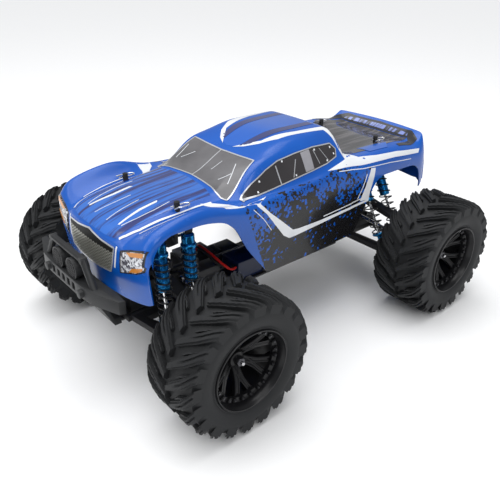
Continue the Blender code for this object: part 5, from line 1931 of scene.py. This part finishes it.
def lamp_material() -> bpy.types.Material:
    """Makes or finds the faceted chrome of the lamps.

    Returns:
        the material.
    """
    found = bpy.data.materials.get("lamp_chrome")
    if found:
        return found
    made = bpy.data.materials.new("lamp_chrome")
    made.use_nodes = True
    nodes, links = made.node_tree.nodes, made.node_tree.links
    wire = Wiring(made.node_tree)
    place, cells = nodes.new("ShaderNodeTexCoord"), nodes.new("ShaderNodeTexVoronoi")
    cells.inputs["Scale"].default_value = 420
    grey, bump = nodes.new("ShaderNodeSeparateColor"), nodes.new("ShaderNodeBump")
    bump.inputs["Distance"].default_value = 0.8 * MM
    links.new(place.outputs["Object"], cells.inputs["Vector"])
    links.new(cells.outputs["Color"], grey.inputs[0])
    links.new(cells.outputs["Distance"], bump.inputs["Height"])
    shader = nodes["Principled BSDF"]
    share = wire.ramp(grey.outputs[0], 0.45, 0.6)
    links.new(wire.mix(share, (0.12, 0.12, 0.15), (0.85, 0.87, 0.92)), shader.inputs["Base Color"])
    links.new(bump.outputs[0], shader.inputs["Normal"])
    shader.inputs["Metallic"].default_value = 0.5
    shader.inputs["Roughness"].default_value = 0.22
    shader.inputs["Coat Weight"].default_value = 0.8
    return made


# ---------------------------------------------------------------- bumper and fittings


@dataclass(frozen=True)
class Bumper:
    """The front bumper with its hoop, round lamp pods and tow rings.

    Attributes:
        pod: the x of each lamp pod.
        pod_height: the pods' middle height.
        pod_radius: the pods' radius.
        face: the y of the pods' front.
    """

    pod: float = 15.0
    pod_height: float = 141.5
    pod_radius: float = 11.0
    face: float = -243.5

    def grid(self, middle: float, face: float) -> Solid:
        """Makes the crossed bars over one pod.

        Args:
            middle: the pod's x.
            face: the y of the pod's front.

        Returns:
            the bars.
        """
        shape, reach = Solid(), self.pod_radius - 1.6
        rim = [(reach * math.cos(a), reach * math.sin(a)) for a in (math.pi * i / 12 for i in range(24))]
        for lean in (1.05, -1.05, 0.0):
            way = Vector((math.cos(lean), math.sin(lean)))
            side = Vector((-way.y, way.x))
            for i in range(-3, 4):
                ends = crossing(rim, side * (i * 2.7 + 0.01), way)
                if ends:
                    outline = [(middle + x, self.pod_height + z) for x, z in stripe(ends, 0.75)]
                    depth = face - 0.15 * (lean > 0) - 0.3 * (lean < 0)
                    shape.prism(outline, depth - 0.5, depth + 0.6, Axis.Y)
        return shape

    def build(self) -> None:
        """Makes the moulding, and the ring, floor and mesh of each pod."""
        make("front_bumper_finished", Solid().copy_of("front_bumper"), BUMPER_GREY, "chassis",
            ("front_bumper",), 0.8)
        r = self.pod_radius
        for side in Side:
            x = side.value * self.pod
            middle = (x, self.face, self.pod_height)
            ring = [(-0.2, r - 1.8), (1.0, r - 1.7), (1.3, r - 0.9), (1.0, r + 0.1), (-0.2, r + 0.3)]
            floor = [(-0.2, 0), (-0.2, r - 1.5), (0.25, r - 1.5), (0.25, 0)]
            make(f"pod_ring_{side.label}", Solid().lathe(ring, middle, (0, -1, 0), 40), BUMPER_GREY,
                "chassis")
            make(f"pod_floor_{side.label}", Solid().lathe(floor, middle, (0, -1, 0), 40), GRILLE_DARK,
                "chassis")
            make(f"pod_mesh_{side.label}", self.grid(x, self.face - 0.9), NYLON, "chassis")


@dataclass(frozen=True)
class Clip:
    """A bent wire pin that holds the shell to one post, over the post's knob.

    Attributes:
        node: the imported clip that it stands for.
        wire: the wire's radius.
    """

    node: str
    wire: float = 0.75

    def build(self) -> None:
        """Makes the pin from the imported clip's box."""
        low, high = (Vector(corner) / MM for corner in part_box(self.node))
        middle = (low + high) / 2
        reach_x, reach_y = (high.x - low.x) / 2, (high.y - low.y) / 2
        z = middle.z
        along = reach_x >= reach_y
        reach = max(reach_x, reach_y) - self.wire
        wide = min(reach_x, reach_y) - self.wire
        outline = [
            (-reach, wide), (-0.4 * reach, wide * 0.55), (-0.1 * reach, wide), (0.35 * reach, wide),
            (0.8 * reach, wide * 0.7),
            (reach, 0), (0.8 * reach, -wide * 0.7), (0.35 * reach, -wide), (-reach * 0.95, -wide),
        ]
        smooth = glide(np.array(outline, float), np.arange(0, len(outline) - 1 + 1e-9, 0.2))
        path = [(middle.x + (a if along else b), middle.y + (b if along else a), z) for a, b in smooth]
        make(f"{self.node}_wire", Solid().tube(path, self.wire, 10), CHROME, "chassis", (self.node,))


class Fittings:
    """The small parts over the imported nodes."""

    def build(self) -> None:
        """Makes the clips."""
        for end in End:
            for side in Side:
                Clip(f"body_clip_{end.label}_{side.label}").build()


@dataclass(frozen=True)
class Electronics:
    """The small parts on the motor, battery, speed controller and plate.

    Attributes:
        motor: the motor's axis as (x, z).
        motor_radius: the can's radius.
        screw: the radius of the plate's screw heads.
    """

    motor: Flat = (-21.6, 82.0)
    motor_radius: float = 18.0
    screw: float = 2.6

    def motor_parts(self) -> None:
        """Makes the motor's band, its end cap, and near-black blocks of painted shade where its vent slots
        open.
        """
        x, z = self.motor
        r = self.motor_radius
        band = [(70.0, r - 0.4), (70.0, r + 0.3), (96.0, r + 0.3), (96.0, r - 0.4)]
        make("motor_band", Solid().lathe(band, (x, 0, z), (0, 1, 0), 48), BATTERY_BLUE, "chassis")
        # Each vent slot is a near-black block on the can: painted shade standing for the dark inside the
        # opening.
        vent = Solid().box((x - 2.6, 99.0, z + r - 1.2), (x + 2.6, 107.0, z + r + 0.25))
        turn = (0, 2 * math.pi / 8, 0)
        repeat("motor_vents", vent, GRILLE_DARK, "chassis", 8, (x, 0, z), turn, bevel=0.2)
        cap = [(111.5, 0), (111.5, r - 1.0), (114.0, r - 1.6), (115.2, r - 4.0), (115.2, 5.0), (117.0, 4.6),
            (117.0, 0)]
        make("motor_cap", Solid().lathe(cap, (x, 0, z), (0, 1, 0), 40), CASE_DARK, "chassis")
        for side in Side:
            tab = Solid().rod((x + side.value * 9.0, 115.0, z), (x + side.value * 9.0, 119.0, z), 1.4, 1.1)
            make(f"motor_tab_{side.label}", tab, STEEL, "chassis")

    def board_parts(self) -> None:
        """Makes the controller's fins, the battery's strap and the receiver's pins."""
        fin = Solid().box((-35.0, -96.5, 87.0), (-33.8, -81.0, 91.5))
        repeat("controller_fins", fin, MOTOR_SILVER, "chassis", 9, step=(3.0, 0, 0), bevel=0.15)
        strap = [(5.7, 63.6), (6.8, 63.6), (6.8, 88.5), (38.2, 88.5), (38.2, 63.6), (39.3, 63.6),
            (39.3, 89.8), (5.7, 89.8)]
        make("battery_strap", Solid().prism(strap, -14.0, 6.0, Axis.Y), NYLON, "chassis", bevel=0.3)
        low, high = (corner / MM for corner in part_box("receiver_box"))
        pin = Solid().box((low.x + 3.0, low.y + 2.0, high.z - 0.4), (low.x + 4.2, low.y + 8.0, high.z + 1.6))
        repeat("receiver_pins", pin, BOLT_BLACK, "chassis", 8, step=(2.6, 0, 0), bevel=0.15)

    def screws(self) -> None:
        """Makes the rows of screws under the plate and on the gear cases."""
        for side in Side:
            row = Solid().rod(
                (side.value * 12.0, -126.0, 59.8), (side.value * 12.0, -126.0, 60.6), self.screw,
                self.screw - 0.3, 16
            )
            repeat(f"plate_screws_{side.label}", row, STEEL, "chassis", 6, step=(0, 54.0, 0))
        for end in End:
            low, high = (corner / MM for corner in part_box(f"{end.label}_gear_case"))
            for side in Side:
                x = side.value * 13.2
                bolt = Solid().rod((x, low.y + 3.6, 96.0), (x, low.y + 3.6, 98.0), 2.4, 2.2, 16)
                gap = high.y - low.y - 7.2
                name = f"{end.label}_case_screws_{side.label}"
                repeat(name, bolt, STEEL, "chassis", 2, step=(0, gap, 0), bevel=0.2)

    def build(self) -> None:
        """Makes all of the small parts."""
        self.motor_parts()
        self.board_parts()
        self.screws()


# ---------------------------------------------------------------- studio


def light(name: str, place: Point, size: float, power: float, aim: Point) -> None:
    """Hangs one soft square light.

    Args:
        name: its name.
        place: where it hangs, in metres.
        size: its width in metres.
        power: its power in watts.
        aim: the point that it faces, in metres.
    """
    lamp = bpy.data.lights.new(name, "AREA")
    lamp.shape = "SQUARE"
    lamp.size = size
    lamp.energy = power
    thing = bpy.data.objects.new(name, lamp)
    thing.location = place
    thing.rotation_mode = "QUATERNION"
    thing.rotation_quaternion = (Vector(aim) - Vector(place)).to_track_quat("-Z", "Y")
    bpy.context.scene.collection.objects.link(thing)


# The studio, in metres, watts and degrees
FLOOR_HALF = 14.0
SKY_TINT = (0.95, 0.97, 1.0, 1)
SKY_ON_THE_TRUCK = 0.42
SKY_BEHIND_THE_TRUCK = 1.0
LIGHTS_AIM = (0.0, 0.0, 0.1)
SOFT_LIGHTS = (
    ("overhead", (-0.1, 0.1, 1.6), 1.4, 8.0),
    ("key", (1.25, -0.5, 1.2), 0.8, 6.0),
    ("front_fill", (-0.5, -1.4, 1.0), 0.9, 4.0),
)
EVEN_STRENGTH = 1.7
EVEN_SPREAD = 70
EVEN_TILT = (12, -10)
CAMERA_PLACE = (0.50758, -0.44104, 0.43431)
CAMERA_AZIMUTH = 49.11
CAMERA_ELEVATION = 28.29
CAMERA_ROLL = 0.74
CAMERA_LENS = 42.96
CAMERA_SENSOR = 36.0
SHOCK_SPREAD = 17.0
FRONT_SHOCK_EYES = ((61.5, 168.0), (70.0, 66.0))
REAR_SHOCK_EYES = ((30.0, 165.0), (86.0, 66.0))


def studio() -> None:
    """Makes the pale floor, the even surroundings and the lights."""
    half = FLOOR_HALF
    mesh = bpy.data.meshes.new("studio_floor")
    corners = [(-half, -half, 0), (half, -half, 0), (half, half, 0), (-half, half, 0)]
    mesh.from_pydata(corners, [], [(0, 1, 2, 3)])
    place_object(mesh, FLOOR_WHITE)
    world = bpy.data.worlds.new("studio")
    world.use_nodes = True
    nodes, links = world.node_tree.nodes, world.node_tree.links
    sky, ray, level = nodes["Background"], nodes.new("ShaderNodeLightPath"), nodes.new("ShaderNodeMapRange")
    sky.inputs["Color"].default_value = SKY_TINT
    level.inputs["To Min"].default_value = SKY_ON_THE_TRUCK
    level.inputs["To Max"].default_value = SKY_BEHIND_THE_TRUCK
    links.new(ray.outputs["Is Camera Ray"], level.inputs["Value"])
    links.new(level.outputs[0], sky.inputs["Strength"])
    bpy.context.scene.world = world
    bpy.context.scene.view_settings.view_transform = "Standard"
    for name, place, size, power in SOFT_LIGHTS:
        light(name, place, size, power, LIGHTS_AIM)
    even = bpy.data.lights.new("even", "SUN")
    even.energy = EVEN_STRENGTH
    even.angle = math.radians(EVEN_SPREAD)
    thing = bpy.data.objects.new("even", even)
    thing.rotation_euler = (*(math.radians(v) for v in EVEN_TILT), 0)
    bpy.context.scene.collection.objects.link(thing)


def camera() -> None:
    """Sets the camera at the studio's three-quarter view."""
    azimuth, elevation, roll = (
        math.radians(v) for v in (CAMERA_AZIMUTH, CAMERA_ELEVATION, CAMERA_ROLL)
    )
    back = Vector(
        (
            math.sin(azimuth) * math.cos(elevation),
            -math.cos(azimuth) * math.cos(elevation),
            math.sin(elevation),
        )
    )
    flat = Vector((0, 0, 1)).cross(back).normalized()
    up = back.cross(flat)
    right = flat * math.cos(roll) + up * math.sin(roll)
    high = up * math.cos(roll) - flat * math.sin(roll)
    lens = bpy.data.cameras.new("camera")
    lens.lens = CAMERA_LENS
    lens.sensor_width = CAMERA_SENSOR
    lens.clip_start, lens.clip_end = 0.01, 60.0
    thing = bpy.data.objects.new("camera", lens)
    turn = Matrix((right, high, back)).transposed().to_4x4()
    thing.matrix_world = Matrix.Translation(CAMERA_PLACE) @ turn
    bpy.context.scene.collection.objects.link(thing)
    bpy.context.scene.camera = thing


def main() -> None:
    """Makes the whole truck and its studio."""
    logging.basicConfig(level=logging.INFO, format="%(message)s")
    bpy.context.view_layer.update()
    camera()
    studio()
    for end in End:
        for side in Side:
            Wheel(end, side).build()
    for side in Side:
        for behind in (-SHOCK_SPREAD, SHOCK_SPREAD):
            Shock(End.FRONT, side, *FRONT_SHOCK_EYES, behind).build()
            Shock(End.REAR, side, *REAR_SHOCK_EYES, behind).build()
    for node in refined_nodes():
        node.build()
    Graphics().build()
    Bumper().build()
    Fittings().build()
    Electronics().build()


if __name__ == "__main__":
    main()
